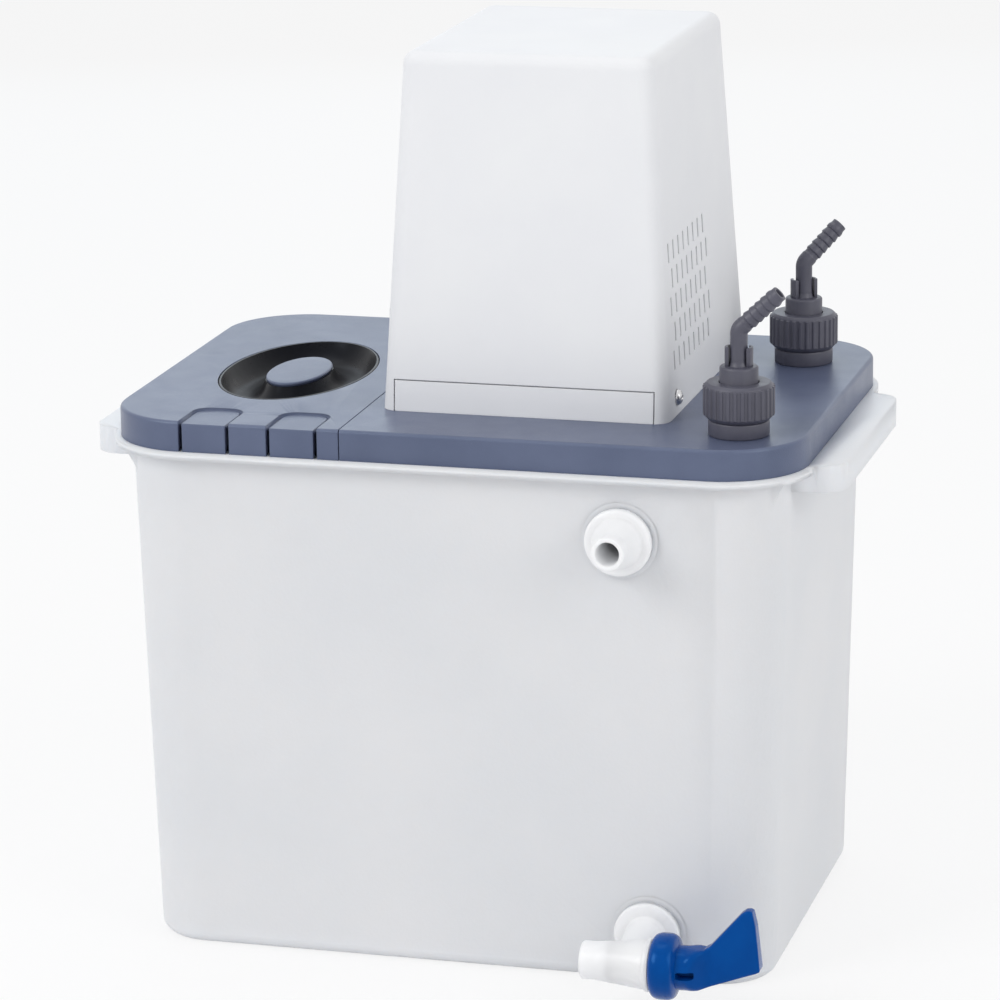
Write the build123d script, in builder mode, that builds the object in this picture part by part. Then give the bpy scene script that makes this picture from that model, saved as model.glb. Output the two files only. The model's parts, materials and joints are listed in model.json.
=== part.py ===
from build123d import *
import math
import os

os.makedirs("parts", exist_ok=True)

# A bench water aspirator: a pump under a white motor cover drives water from a moulded
# tank through two ejectors, and each ejector draws air through a hose barb on the lid.
# +X is to the right, +Y to the back, +Z up, and the origin is on the bench under the
# middle of the tank. Millimetres.

# Tank, a polyethylene box that narrows towards the floor
rim_top = 234.7
rim_thickness = 3.4
rim_margin = 2.5
tank_width = 300.0
tank_depth = 212.0
tank_corner = 28.0
tank_wall = 3.0
floor_thickness = 4.0
floor_edge = 6.0
draft_x = 5.5
draft_y = 4.0
handle_reach = 13.0
handle_front = -(tank_depth / 2 - 31.0)
handle_rear = tank_depth / 2 - 44.0
handle_drop = 12.0
handle_corner = 12.0
gusset_y = tank_depth / 2 - 14.0
gusset_drop = 14.0
gusset_root = 12.0
gusset_foot = 5.0
gusset_reach = 1.0
gusset_thickness = 2.4

# Lid, two moulded plates side by side on the tank's rim
lid_width = tank_width + 2 * 7.5
lid_depth = tank_depth + 2 * 4.0
half_width = lid_width / 2
half_depth = lid_depth / 2
lid_corner = 38.0
lid_height = 13.8
lid_wall = 3.0
lid_edge = 1.6
lid_top = rim_top + lid_height
lid_underside = lid_top - lid_wall
seam_x = -lid_width / 7
seam_gap = 0.5
rib_depth = 18.5
rib_wall = 2.4
rib_play = 1.0

# Overflow nozzle and drain cock on the front wall
pad_radius = 17.0
pad_proud = 1.2
barrel_radius = 8.7
hole_play = 0.4
gasket_thickness = 1.5
flange_radius = 15.0
flange_thickness = 3.5
nut_thickness = 7.0
barrel_stick_out = 2.5
overflow_x = tank_width / 2 - 69.3
overflow_z = rim_top - 29.7
nozzle_radius = 7.3
nozzle_bore = 5.3
flange_chamfer = 1.0
hub_radius = 10.8
hub_length = 9.0
nozzle_length = 9.0
drain_x = tank_width / 2 - 58.0
drain_z = 24.0
cock_reach = 38.0
stem_radius = 8.5
stem_bore = 4.5
outlet_radius = 8.4
outlet_bore = 5.5
outlet_land = 6.0
body_radius = 11.8
body_left = 20.7
body_right = 10.8
body_chamfer = 0.8
socket_radius = 8.0
socket_depth = 18.8
running_play = 0.05
collar_radius = 14.7
collar_length = 11.6
collar_gap = 0.3
neck_radius = 9.9
neck_length = 8.0
lever_thickness = 6.5
lever_reach = 36.4
lever_rise = 29.4
lever_waist = 13.5
lever_waist_rise = 11.2
ring_inset = 2.5
ring_minor = 0.9
groove_depth = 1.9

# Motor cover with the tray that it is screwed to
cover_x = 28.3
cover_y = 10.0
cover_width = 131.0
cover_depth = 162.0
cover_height = 159.5
cover_draft_x = 9.0
cover_draft_y = 11.0
cover_corner = 7.0
cover_top_edge = 6.0
cover_wall = 2.5
plinth_height = 14.3
plinth_gap = 0.5
vent_columns = 8
vent_rows = 5
vent_width = 2.2
vent_length = 8.5
vent_pitch_y = 9.6
vent_pitch_z = 12.0
vent_y = -15.0
vent_z = 297.0
cover_screw_z = 256.3
cover_screw_front = -50.7
cover_screw_rear = 71.0
screw_head = 3.6
screw_head_height = 3.0
screw_sink = 0.4
screw_shank = 2.0
screw_length = 9.0
screw_play = 0.3
lug_thickness = 3.0
lug_width = 14.0
gland_offset = 20.0

# Hatch over the filling mouth
dish_x = 61.0 - half_width
dish_y = -4.5
dish_half_width = 34.2
dish_half_depth = 58.7
dish_floor = 9.0
dish_wall = 2.0
dish_play = 0.3
knob_half_width = 13.7
knob_half_depth = 26.9
knob_cap = 2.0
tab_width = 20.0
tab_depth = 27.0
tab_drop = 0.9
tab_groove = 1.8
tab_corner = 7.0
tab_centres = (seam_x - 62.5, seam_x - 21.8)
slot_reach = lid_wall + 0.5
dish_lip = 1.0
dish_slope = 6.0
boss_slope = 1.5

# Suction ports at the right of the lid
port_x = half_width - 30.0
port_ys = {"front": 31.0 - half_depth, "rear": half_depth - 49.0}
port_turns = {"front": 0.0, "rear": 35.0}
neck_flange = 13.4
neck_flange_height = 6.8
neck_thread = 11.2
neck_height = 17.5
neck_spigot = 9.0
spigot_depth = 17.5
seat_bore = 3.6
seat_thickness = 2.5
chamber_radius = 6.0
chamber_depth = 26.0
washer_thickness = 1.3
elbow_flange = 10.9
elbow_flange_thickness = 1.5
elbow_collar = 8.5
elbow_collar_height = 30.5
elbow_foot = 4.4
tongue_inner = 4.9
tongue_outer = 6.2
tongue_width = 6.0
tongue_height = 39.0
elbow_bend_height = 46.5
elbow_stem = 3.8
elbow_bore = 2.2
elbow_tilt = 47.0
barb_length = 24.5
barb_core = 3.5
barb_crest = 4.0
barb_pitch = 3.4
barb_count = 5
barb_tip = 1.5
barb_ramp = 0.3
barb_land = 0.6
union_radius = 15.0
union_rib = 0.7
union_ribs = 30
union_bottom = 7.1
union_top = 23.5
union_top_wall = 2.9
poppet_travel = 2.0
poppet_radius = 5.2
spring_radius = 4.2
spring_wire = 0.45
spring_turns = 4

# Motor, shaft and pump
shaft_radius = 4.0
shaft_top = 382.0
fit_gap = 0.02
core_side = 84.0
core_bottom = 300.0
core_height = 40.0
core_bore = 24.5
rotor_play = 0.5
bell_radius = 38.0
bell_height = 16.0
bell_wall = 2.2
bearing_radius = 11.0
bearing_width = 7.0
winding_radius = 34.0
winding_height = 8.0
post_radius = 4.5
post_spread = 36.0
fan_radius = 40.0
fan_bottom = 362.0
fan_height = 14.0
blade_count = 10
column_radius = 16.0
column_wall = 3.0
column_flange = 30.0
column_flange_height = 4.0
bolt_circle = 22.5
casing_radius = 42.0
casing_wall = 5.0
casing_bottom = 30.0
casing_top = 62.0
chamber_height = 22.0
inlet_radius = 13.0
strainer_bottom = 12.0
strainer_radius = 26.0
impeller_radius = 33.0
casing_stub = 10.0
pipe_radius = 8.0
pipe_bore = 5.5
outlet_height = 43.0
riser_x = port_x - 31.5
stub_reach = 22.0
spigot_low = lid_underside - spigot_depth
jet_height = spigot_low - 23.0
jet_length = 21.0
jet_bore = 3.0
jet_tip = 1.4
jet_wall = 1.0
throat_bore = 3.2
suction_bore = 9.0
ejector_radius = 13.5
ejector_bottom = jet_height - jet_length
tail_bottom = jet_height - 110.0

# Rocker switch on the left of the cover, and the gland for the mains lead
switch_y = -42.0
switch_z = 285.0
switch_length = 21.0
switch_width = 14.0
switch_flange = 1.8
switch_depth = 14.0
rocker_half = 7.0
rocker_width = 9.0
rocker_tilt = 8.0
rocker_play = 0.4
gland_radius = 5.2
gland_bore = 3.4
gland_length = 9.0

tray_top = lid_top + cover_wall


def save(piece, name):
    """Names a finished piece and writes it."""
    piece.part.label = name
    export_step(piece.part, f"parts/{name}.step")


def spin(points, base, mode=Mode.ADD):
    """Turns a half section, given as (radius, height) points, about the base's normal."""
    section = Plane(origin=base.origin, x_dir=base.x_dir, z_dir=-base.y_dir)
    with BuildSketch(section, mode=Mode.PRIVATE) as half:
        with BuildLine():
            Polyline(*points, close=True)
        make_face()
    revolve(half.sketch, axis=Axis(base.origin, base.z_dir), mode=mode)


def upright(x, y, z=0.0):
    """A level plane with its origin at the point."""
    return Plane(origin=(x, y, z))


def wall_front(z):
    """How far the tank's front wall stands from the middle at a height."""
    share = (rim_top - rim_thickness - z) / (rim_top - rim_thickness)
    return tank_depth / 2 - draft_y * share


def rounded(width, depth, corner, height):
    """A level rounded rectangle about the middle of the tank."""
    with BuildSketch(Plane.XY.offset(height), mode=Mode.PRIVATE) as outline:
        RectangleRounded(width, depth, corner)
    return outline.sketch


# The room inside the tank, cut from it and matched by the lid's ribs
room_foot = rounded(
    tank_width - 2 * (draft_x + tank_wall),
    tank_depth - 2 * (draft_y + tank_wall),
    tank_corner - tank_wall - 2,
    floor_thickness,
)
room_mouth = rounded(
    tank_width - 2 * tank_wall,
    tank_depth - 2 * tank_wall,
    tank_corner - tank_wall,
    rim_top,
)
with BuildPart() as room:
    loft([room_foot, room_mouth])
    fillet(room.edges().group_by(Axis.Z)[0], floor_edge)

# Tank, with a flat rim, a down-turned grip at each side and a flat pad at each fitting
handle_length = handle_rear - handle_front
handle_middle = (handle_front + handle_rear) / 2
rim_half = half_width + rim_margin
handle_outer = rim_half + handle_reach
tank_foot = rounded(tank_width - 2 * draft_x, tank_depth - 2 * draft_y, tank_corner - 2, 0)
tank_shoulder = rounded(tank_width, tank_depth, tank_corner, rim_top - rim_thickness)
rim_outline = rounded(
    lid_width + 2 * rim_margin,
    lid_depth + 2 * rim_margin,
    lid_corner + rim_margin,
    rim_top - rim_thickness,
)
with BuildPart() as tank:
    for side in (-1, 1):
        with BuildSketch(Plane.XY.offset(rim_top - handle_drop)):
            with Locations((side * handle_outer / 2, handle_middle)):
                RectangleRounded(handle_outer, handle_length, handle_corner)
        extrude(amount=handle_drop)
        with BuildSketch(Plane.XY.offset(rim_top - handle_drop)):
            with Locations((side * (handle_outer - tank_wall) / 2, handle_middle)):
                RectangleRounded(
                    handle_outer - tank_wall,
                    handle_length - 2 * tank_wall,
                    handle_corner - tank_wall,
                )
        extrude(amount=handle_drop - rim_thickness, mode=Mode.SUBTRACT)
    loft([tank_foot, tank_shoulder])
    fillet(tank.faces().sort_by(Axis.Z)[0].edges(), floor_edge)
    extrude(rim_outline, amount=rim_thickness)
    for side in (-1, 1):
        for end in (-1, 1):
            with BuildSketch(Plane.XZ.offset(-end * gusset_y)):
                with BuildLine():
                    Polyline(
                        (side * (tank_width / 2 - gusset_root), rim_top - rim_thickness),
                        (side * (tank_width / 2 + gusset_reach), rim_top - rim_thickness),
                        (side * (tank_width / 2 - gusset_foot), rim_top - gusset_drop),
                        (side * (tank_width / 2 - gusset_root), rim_top - gusset_drop),
                        close=True,
                    )
                make_face()
            extrude(amount=gusset_thickness / 2, both=True)
    add(room.part, mode=Mode.SUBTRACT)
    for x, z in ((overflow_x, overflow_z), (drain_x, drain_z)):
        with BuildSketch(Plane.XZ.offset(wall_front(z) - tank_wall - pad_proud)):
            with Locations((x, z)):
                Circle(pad_radius)
        extrude(amount=tank_wall + 2 * pad_proud)
        with BuildSketch(Plane.XZ.offset(wall_front(z) - tank_wall - 2 * pad_proud)):
            with Locations((x, z)):
                Circle(barrel_radius + hole_play)
        extrude(amount=tank_wall + 4 * pad_proud, mode=Mode.SUBTRACT)
save(tank, "tank")

# The overflow and the drain pass through the wall alike: flange, gasket and back nut
pad_thickness = tank_wall + 2 * pad_proud
barrel_length = pad_thickness + nut_thickness + barrel_stick_out


def wall_plane(x, z):
    """A plane on a fitting's pad, facing out of the tank."""
    face = wall_front(z) + pad_proud
    return Plane(origin=(x, -face, z), x_dir=(1, 0, 0), z_dir=(0, -1, 0))


flange_outer = gasket_thickness + flange_thickness
overflow_plane = wall_plane(overflow_x, overflow_z)
nozzle_end = flange_outer + hub_length + nozzle_length
with BuildPart() as overflow_fitting:
    spin(
        [
            (nozzle_bore, -barrel_length),
            (barrel_radius, -barrel_length),
            (barrel_radius, gasket_thickness),
            (flange_radius, gasket_thickness),
            (flange_radius, flange_outer - flange_chamfer),
            (flange_radius - flange_chamfer, flange_outer),
            (hub_radius, flange_outer),
            (nozzle_radius, flange_outer + hub_length),
            (nozzle_radius, nozzle_end),
            (nozzle_bore, nozzle_end),
        ],
        overflow_plane,
    )
save(overflow_fitting, "overflow_fitting")

drain_plane = wall_plane(drain_x, drain_z)
for name, plane in (("overflow", overflow_plane), ("drain", drain_plane)):
    with BuildPart() as gasket:
        spin(
            [
                (barrel_radius + hole_play, 0),
                (flange_radius - 1.5, 0),
                (flange_radius - 1.5, gasket_thickness),
                (barrel_radius + hole_play, gasket_thickness),
            ],
            plane,
        )
    save(gasket, f"{name}_gasket")
    with BuildPart() as back_nut:
        with BuildSketch(plane.offset(-pad_thickness - nut_thickness)):
            RegularPolygon(flange_radius - 0.5, 6)
            Circle(barrel_radius + hole_play / 2, mode=Mode.SUBTRACT)
        extrude(amount=nut_thickness)
    save(back_nut, f"{name}_back_nut")

# Drain cock: a stem out of the wall into a body that lies along the wall
cock_y = drain_plane.origin.Y - cock_reach
cock_left = drain_x - body_left
cock_right = drain_x + body_right
along = Plane(origin=(cock_left, cock_y, drain_z), x_dir=(0, 0, 1), z_dir=(1, 0, 0))
cock_length = cock_right - cock_left
with BuildPart() as drain_body:
    spin(
        [
            (0, -barrel_length),
            (barrel_radius, -barrel_length),
            (barrel_radius, gasket_thickness),
            (flange_radius, gasket_thickness),
            (flange_radius, flange_outer - flange_chamfer),
            (flange_radius - flange_chamfer, flange_outer),
            (stem_radius + 1.5, flange_outer),
            (stem_radius, flange_outer + 3),
            (stem_radius, cock_reach),
            (0, cock_reach),
        ],
        drain_plane,
    )
    spin(
        [
            (0, 0),
            (outlet_radius - body_chamfer, 0),
            (outlet_radius, body_chamfer),
            (outlet_radius, outlet_land),
            (body_radius - body_chamfer, cock_length - 3),
            (body_radius, cock_length - 2),
            (body_radius, cock_length),
            (0, cock_length),
        ],
        along,
    )
    spin([(0, -barrel_length), (stem_bore, -barrel_length), (stem_bore, cock_reach), (0, cock_reach)],
         drain_plane, Mode.SUBTRACT)
    spin([(0, 0), (outlet_bore, 0), (outlet_bore, cock_length), (0, cock_length)], along, Mode.SUBTRACT)
    socket_start = cock_length - socket_depth
    spin(
        [
            (0, socket_start),
            (socket_radius, socket_start),
            (socket_radius, cock_length),
            (0, cock_length),
        ],
        along,
        Mode.SUBTRACT,
    )
save(drain_body, "drain_body")

# Drain plug: a hollow barrel with a side port, a rounded collar and a fish-tail lever
plug_radius = socket_radius - running_play
plug_start = socket_start + collar_gap
collar_start = cock_length + collar_gap
collar_end = collar_start + collar_length
ring_places = (plug_start + ring_inset, cock_length - ring_inset)
lever_tip = collar_end + lever_reach
with BuildPart() as drain_plug:
    spin(
        [
            (0, plug_start),
            (plug_radius, plug_start),
            (plug_radius, collar_start),
            (collar_radius - 2.5, collar_start),
            (collar_radius - 0.7, collar_start + 1.5),
            (collar_radius, collar_start + 4),
            (collar_radius, collar_end - 4),
            (collar_radius - 1.2, collar_end - 1.5),
            (neck_radius, collar_end),
            (neck_radius, collar_end + neck_length / 2),
            (neck_radius - 1.5, collar_end + neck_length),
            (0, collar_end + neck_length),
        ],
        along,
    )
    for place in ring_places:
        spin(
            [
                (plug_radius - groove_depth, place - 1),
                (socket_radius, place - 1),
                (socket_radius, place + 1),
                (plug_radius - groove_depth, place + 1),
            ],
            along,
            Mode.SUBTRACT,
        )
    spin([(0, 0), (stem_bore, 0), (stem_bore, cock_length - 2), (0, cock_length - 2)], along, Mode.SUBTRACT)
    with BuildSketch(Plane(origin=(drain_x, cock_y, drain_z), z_dir=(0, 0, -1))):
        Circle(stem_bore - 0.5)
    extrude(amount=socket_radius, mode=Mode.SUBTRACT)
    with BuildSketch(Plane(origin=(cock_left, cock_y, drain_z), x_dir=(1, 0, 0), z_dir=(0, -1, 0))):
        with BuildLine():
            Polyline(
                (collar_end - 3, -neck_radius + 1.6),
                (collar_end + 10, -neck_radius + 1.3),
                (lever_tip - 0.4, 1.2),
                (lever_tip, 2.6),
                (lever_tip - 2.6, lever_rise - 1.4),
                (lever_tip - 5.3, lever_rise),
                (lever_tip - 8.0, lever_rise - 1.0),
                (collar_end + lever_waist, lever_waist_rise),
                (collar_end + lever_waist - 2, neck_radius),
                (collar_end - 3, neck_radius),
                close=True,
            )
        make_face()
    extrude(amount=lever_thickness / 2, both=True)
save(drain_plug, "drain_plug")

with BuildPart() as drain_o_rings:
    for place in ring_places:
        ring_centre = along.offset(place)
        with BuildSketch(Plane(origin=ring_centre.origin, x_dir=(0, 0, 1), z_dir=(0, 1, 0))):
            with Locations((plug_radius - ring_minor - 0.1, 0)):
                Circle(ring_minor)
        revolve(axis=Axis(ring_centre.origin, (1, 0, 0)))
save(drain_o_rings, "drain_o_rings")

# Both lid plates are cut from one moulded tray with a rib that drops into the tank
lid_outline = rounded(lid_width, lid_depth, lid_corner, rim_top)
lid_hollow = rounded(
    lid_width - 2 * lid_wall,
    lid_depth - 2 * lid_wall,
    lid_corner - lid_wall,
    rim_top,
)
with BuildPart() as whole_lid:
    extrude(lid_outline, amount=lid_height)
    fillet(whole_lid.faces().sort_by(Axis.Z)[-1].edges(), lid_edge)
    extrude(lid_hollow, amount=lid_height - lid_wall, mode=Mode.SUBTRACT)

rib_width = tank_width - 2 * (tank_wall + rib_play)
rib_span = tank_depth - 2 * (tank_wall + rib_play)
rib_corner = tank_corner - tank_wall - rib_play


def lid_half(side):
    """One side of the lid's seam, with its share of the rib: 1 is right, -1 is left."""
    edge = seam_x + side * seam_gap / 2
    reach = lid_width
    add(whole_lid.part)
    with BuildSketch(Plane.XY.offset(lid_underside - rib_depth)) as ring:
        RectangleRounded(rib_width, rib_span, rib_corner)
        RectangleRounded(
            rib_width - 2 * rib_wall,
            rib_span - 2 * rib_wall,
            rib_corner - rib_wall,
            mode=Mode.SUBTRACT,
        )
    extrude(ring.sketch, amount=rib_depth)
    with BuildSketch(Plane.XY.offset(lid_underside - rib_depth)) as cross:
        with Locations((edge + side * rib_wall / 2, 0)):
            Rectangle(rib_wall, rib_span - 2)
    extrude(cross.sketch, amount=rib_depth)
    with BuildSketch(Plane.XY.offset(lid_underside - rib_depth)) as wanted:
        with Locations((edge + side * reach / 2, 0)):
            Rectangle(reach, lid_depth)
    extrude(wanted.sketch, amount=rib_depth + lid_wall, mode=Mode.INTERSECT)


# Main lid plate, which carries the motor, the pump and the ports
with BuildPart() as top_plate:
    lid_half(1)
    with BuildSketch(upright(cover_x, cover_y, lid_underside)) as shaft_hole:
        Circle(column_radius - column_wall)
        with PolarLocations(bolt_circle, 4, 45):
            Circle(screw_shank + screw_play)
    extrude(shaft_hole.sketch, amount=lid_wall, mode=Mode.SUBTRACT)
    for y in port_ys.values():
        with BuildSketch(upright(port_x, y, lid_underside)) as port_hole:
            Circle(neck_spigot + hole_play)
        extrude(port_hole.sketch, amount=lid_wall, mode=Mode.SUBTRACT)
save(top_plate, "top_plate")

# Filler hatch: an oval hole for the grip dish and two hose tabs at its front edge
with BuildPart() as fill_hatch:
    lid_half(-1)
    with BuildSketch(upright(dish_x, dish_y, lid_underside)) as dish_hole:
        Ellipse(dish_half_width + dish_play, dish_half_depth + dish_play)
    extrude(dish_hole.sketch, amount=lid_wall, mode=Mode.SUBTRACT)
    tab_plane = Plane.XY.offset(lid_top - tab_drop)
    for x in tab_centres:
        with BuildSketch(tab_plane) as tab_step:
            with Locations((x, -half_depth)):
                RectangleRounded(tab_width, 2 * tab_depth, tab_corner)
        extrude(tab_step.sketch, amount=tab_drop, mode=Mode.SUBTRACT)
        with BuildSketch(tab_plane.offset(-tab_drop)) as groove:
            with Locations((x, -half_depth)):
                RectangleRounded(tab_width + 2 * tab_groove, 2 * (tab_depth + 0.6), tab_corner + 0.6)
                RectangleRounded(tab_width, 2 * tab_depth, tab_corner, mode=Mode.SUBTRACT)
        extrude(groove.sketch, amount=2 * tab_drop, mode=Mode.SUBTRACT)
        for side in (-1, 1):
            slot_x = x + side * (tab_width + tab_groove) / 2
            with BuildSketch(Plane.XY.offset(rim_top)) as slot:
                with Locations((slot_x, -half_depth)):
                    Rectangle(tab_groove, 2 * slot_reach)
            extrude(slot.sketch, amount=lid_height, mode=Mode.SUBTRACT)
save(fill_hatch, "fill_hatch")

# Grip dish: a dark oval bowl with a boss in its middle, and a cap on the boss
with BuildPart() as grip_dish:
    with BuildSketch(upright(dish_x, dish_y, lid_top - dish_floor - dish_wall)) as under:
        Ellipse(dish_half_width - dish_slope, dish_half_depth - dish_slope)
    with BuildSketch(upright(dish_x, dish_y, lid_top)) as mouth:
        Ellipse(dish_half_width, dish_half_depth)
    loft([under.sketch, mouth.sketch])
    with BuildSketch(upright(dish_x, dish_y, lid_top - dish_floor)) as pit:
        Ellipse(dish_half_width - dish_slope - dish_lip, dish_half_depth - dish_slope - dish_lip)
    with BuildSketch(upright(dish_x, dish_y, lid_top)) as pit_mouth:
        Ellipse(dish_half_width - dish_lip, dish_half_depth - dish_lip)
    loft([pit.sketch, pit_mouth.sketch], mode=Mode.SUBTRACT)
    with BuildSketch(upright(dish_x, dish_y, lid_top - dish_floor - 0.5)) as boss_foot:
        Ellipse(knob_half_width + boss_slope, knob_half_depth + boss_slope)
    with BuildSketch(upright(dish_x, dish_y, lid_top - knob_cap)) as boss_top:
        Ellipse(knob_half_width, knob_half_depth)
    loft([boss_foot.sketch, boss_top.sketch])
save(grip_dish, "grip_dish")

with BuildPart() as grip_cap:
    with BuildSketch(upright(dish_x, dish_y, lid_top - knob_cap)):
        Ellipse(knob_half_width, knob_half_depth)
    extrude(amount=knob_cap)
    fillet(grip_cap.faces().sort_by(Axis.Z)[-1].edges(), 0.8)
save(grip_cap, "grip_cap")

# Motor cover and tray share one tapered block
seat = upright(cover_x, cover_y, lid_top)
with BuildPart() as cover_block:
    with BuildSketch(seat):
        RectangleRounded(cover_width, cover_depth, cover_corner)
    with BuildSketch(seat.offset(cover_height)):
        RectangleRounded(
            cover_width - 2 * cover_draft_x,
            cover_depth - 2 * cover_draft_y,
            cover_corner,
        )
    loft()
    fillet(cover_block.faces().sort_by(Axis.Z)[-1].edges(), cover_top_edge)

side_slope = cover_draft_x / cover_height
screw_face = cover_width / 2 - side_slope * (cover_screw_z - lid_top)
screw_seat = screw_face - screw_sink
lug_face = screw_face - cover_wall - screw_play - side_slope * (plinth_height - cover_screw_z + lid_top)
wall_angle = math.atan(side_slope)
switch_x = cover_x - cover_width / 2 + side_slope * (switch_z - lid_top)
switch_plane = Plane(
    origin=(switch_x, switch_y, switch_z),
    x_dir=(0, 1, 0),
    z_dir=(-math.cos(wall_angle), 0, math.sin(wall_angle)),
)
with BuildPart() as motor_cover:
    add(cover_block.part)
    with BuildSketch(seat) as inner_foot:
        RectangleRounded(
            cover_width - 2 * cover_wall,
            cover_depth - 2 * cover_wall,
            cover_corner - cover_wall,
        )
    with BuildSketch(seat.offset(cover_height - cover_wall)) as inner_top:
        RectangleRounded(
            cover_width - 2 * (cover_draft_x + cover_wall),
            cover_depth - 2 * (cover_draft_y + cover_wall),
            cover_corner - cover_wall,
        )
    loft([inner_foot.sketch, inner_top.sketch], mode=Mode.SUBTRACT)
    with BuildSketch(seat) as plinth_gap_area:
        Rectangle(cover_width - 2 * (cover_wall + cover_corner / 2), cover_depth + 2)
    extrude(plinth_gap_area.sketch, amount=plinth_height, mode=Mode.SUBTRACT)
    for side in (-1, 1):
        for y in (cover_screw_front, cover_screw_rear):
            place = Plane(origin=(cover_x, y, cover_screw_z), x_dir=(0, 1, 0), z_dir=(side, 0, 0))
            with BuildSketch(place.offset(screw_seat)) as recess:
                Circle(screw_head + screw_play)
            extrude(recess.sketch, amount=cover_wall, mode=Mode.SUBTRACT)
            with BuildSketch(place.offset(screw_seat - cover_wall)) as passage:
                Circle(screw_shank + screw_play)
            extrude(passage.sketch, amount=2 * cover_wall, mode=Mode.SUBTRACT)
    vent_face = Plane(origin=(cover_x, vent_y, vent_z), x_dir=(0, 1, 0), z_dir=(1, 0, 0))
    with BuildSketch(vent_face.offset(cover_width / 2 - 3 * cover_wall)) as vents:
        for row in range(vent_rows):
            shift = vent_pitch_y / 2 * (row % 2) - vent_pitch_y / 4
            lift = (row - (vent_rows - 1) / 2) * vent_pitch_z
            with Locations((shift, lift)):
                with GridLocations(vent_pitch_y, 1, vent_columns, 1):
                    Rectangle(vent_width, vent_length)
    extrude(vents.sketch, amount=3 * cover_wall, mode=Mode.SUBTRACT)
    with BuildSketch(switch_plane.offset(-2 * cover_wall)) as switch_hole:
        Rectangle(switch_length - 2 + rocker_play, switch_width - 2 + rocker_play)
    extrude(switch_hole.sketch, amount=3 * cover_wall, mode=Mode.SUBTRACT)
save(motor_cover, "motor_cover")

# Tray: the plinth's front and back walls and the lugs for the cover's screws
tray_half = cover_width / 2 - cover_wall - cover_corner / 2 - plinth_gap
gland_y = cover_y + cover_depth / 2
with BuildPart() as base_tray:
    add(cover_block.part)
    with BuildSketch(seat) as tray_area:
        Rectangle(2 * tray_half, cover_depth + 2)
    extrude(tray_area.sketch, amount=plinth_height - plinth_gap, mode=Mode.INTERSECT)
    with BuildSketch(seat.offset(cover_wall)) as tray_room:
        Rectangle(2 * tray_half, cover_depth - 2 * cover_wall - 2)
    extrude(tray_room.sketch, amount=plinth_height, mode=Mode.SUBTRACT)
    with BuildSketch(seat) as floor_area:
        Rectangle(2 * lug_face, cover_depth - 4 * cover_wall)
    extrude(floor_area.sketch, amount=cover_wall)
    for side in (-1, 1):
        for y in (cover_screw_front, cover_screw_rear):
            with BuildSketch(seat.offset(cover_wall)) as lug:
                with Locations((side * (lug_face - lug_thickness / 2), y - cover_y)):
                    Rectangle(lug_thickness, lug_width)
            extrude(lug.sketch, amount=plinth_height - cover_wall - plinth_gap)
            place = Plane(origin=(cover_x, y, cover_screw_z), x_dir=(0, 1, 0), z_dir=(side, 0, 0))
            with BuildSketch(place.offset(lug_face - 1.5 * lug_thickness)) as passage:
                Circle(screw_shank + screw_play)
            extrude(passage.sketch, amount=2 * lug_thickness, mode=Mode.SUBTRACT)
    with BuildSketch(seat) as shaft_hole:
        Circle(column_radius - column_wall)
        with PolarLocations(bolt_circle, 4, 45):
            Circle(screw_shank + screw_play)
        with GridLocations(2 * post_spread, 2 * post_spread, 2, 2):
            Circle(screw_shank + screw_play)
    extrude(shaft_hole.sketch, amount=cover_wall, mode=Mode.SUBTRACT)
    gland_plane = Plane(
        origin=(cover_x + gland_offset, gland_y, lid_top + (plinth_height + cover_wall) / 2),
        x_dir=(1, 0, 0),
        z_dir=(0, 1, 0),
    )
    with BuildSketch(gland_plane.offset(-4 * cover_wall)) as gland_hole:
        Circle(gland_radius - 1 + hole_play)
    extrude(gland_hole.sketch, amount=5 * cover_wall, mode=Mode.SUBTRACT)
save(base_tray, "base_tray")

with BuildPart() as cover_screws:
    for side in (-1, 1):
        for y in (cover_screw_front, cover_screw_rear):
            place = Plane(origin=(cover_x, y, cover_screw_z), x_dir=(0, 1, 0), z_dir=(side, 0, 0))
            spin(
                [
                    (0, screw_seat - screw_length),
                    (screw_shank, screw_seat - screw_length),
                    (screw_shank, screw_seat),
                    (screw_head, screw_seat),
                    (screw_head, screw_seat + screw_head_height / 3),
                    (0.8 * screw_head, screw_seat + 0.75 * screw_head_height),
                    (0.4 * screw_head, screw_seat + screw_head_height),
                    (0, screw_seat + screw_head_height),
                ],
                place,
            )
            with BuildSketch(place.offset(screw_seat + screw_head_height / 2)) as cross:
                Rectangle(screw_head, screw_head / 4)
                Rectangle(screw_head / 4, screw_head)
            extrude(cross.sketch, amount=screw_head_height, mode=Mode.SUBTRACT)
save(cover_screws, "cover_screws")

gland_base = gland_plane.offset(-cover_wall - 1.2)
with BuildPart() as cord_gland:
    spin(
        [
            (gland_bore, -3),
            (gland_radius - 1, -3),
            (gland_radius - 1, cover_wall + 1.3),
            (gland_radius, cover_wall + 1.3),
            (gland_radius, cover_wall + 3.3),
            (gland_bore + 0.9, cover_wall + gland_length),
            (gland_bore, cover_wall + gland_length),
        ],
        gland_base,
    )
save(cord_gland, "cord_gland")

# Rocker switch, square to the sloping left wall
with BuildPart() as switch_body:
    with BuildSketch(switch_plane.offset(0.05)) as bezel:
        RectangleRounded(switch_length + 2, switch_width + 2, 1.5)
    extrude(bezel.sketch, amount=switch_flange)
    with BuildSketch(switch_plane.offset(0.05)) as block:
        Rectangle(switch_length - 2, switch_width - 2)
    extrude(block.sketch, amount=-switch_depth)
    with BuildSketch(switch_plane.offset(switch_flange + 0.05)) as pocket:
        Rectangle(2 * (rocker_half + 0.9), rocker_width + 2 * rocker_play)
    extrude(pocket.sketch, amount=-7.5, mode=Mode.SUBTRACT)
save(switch_body, "switch_body")

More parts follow.
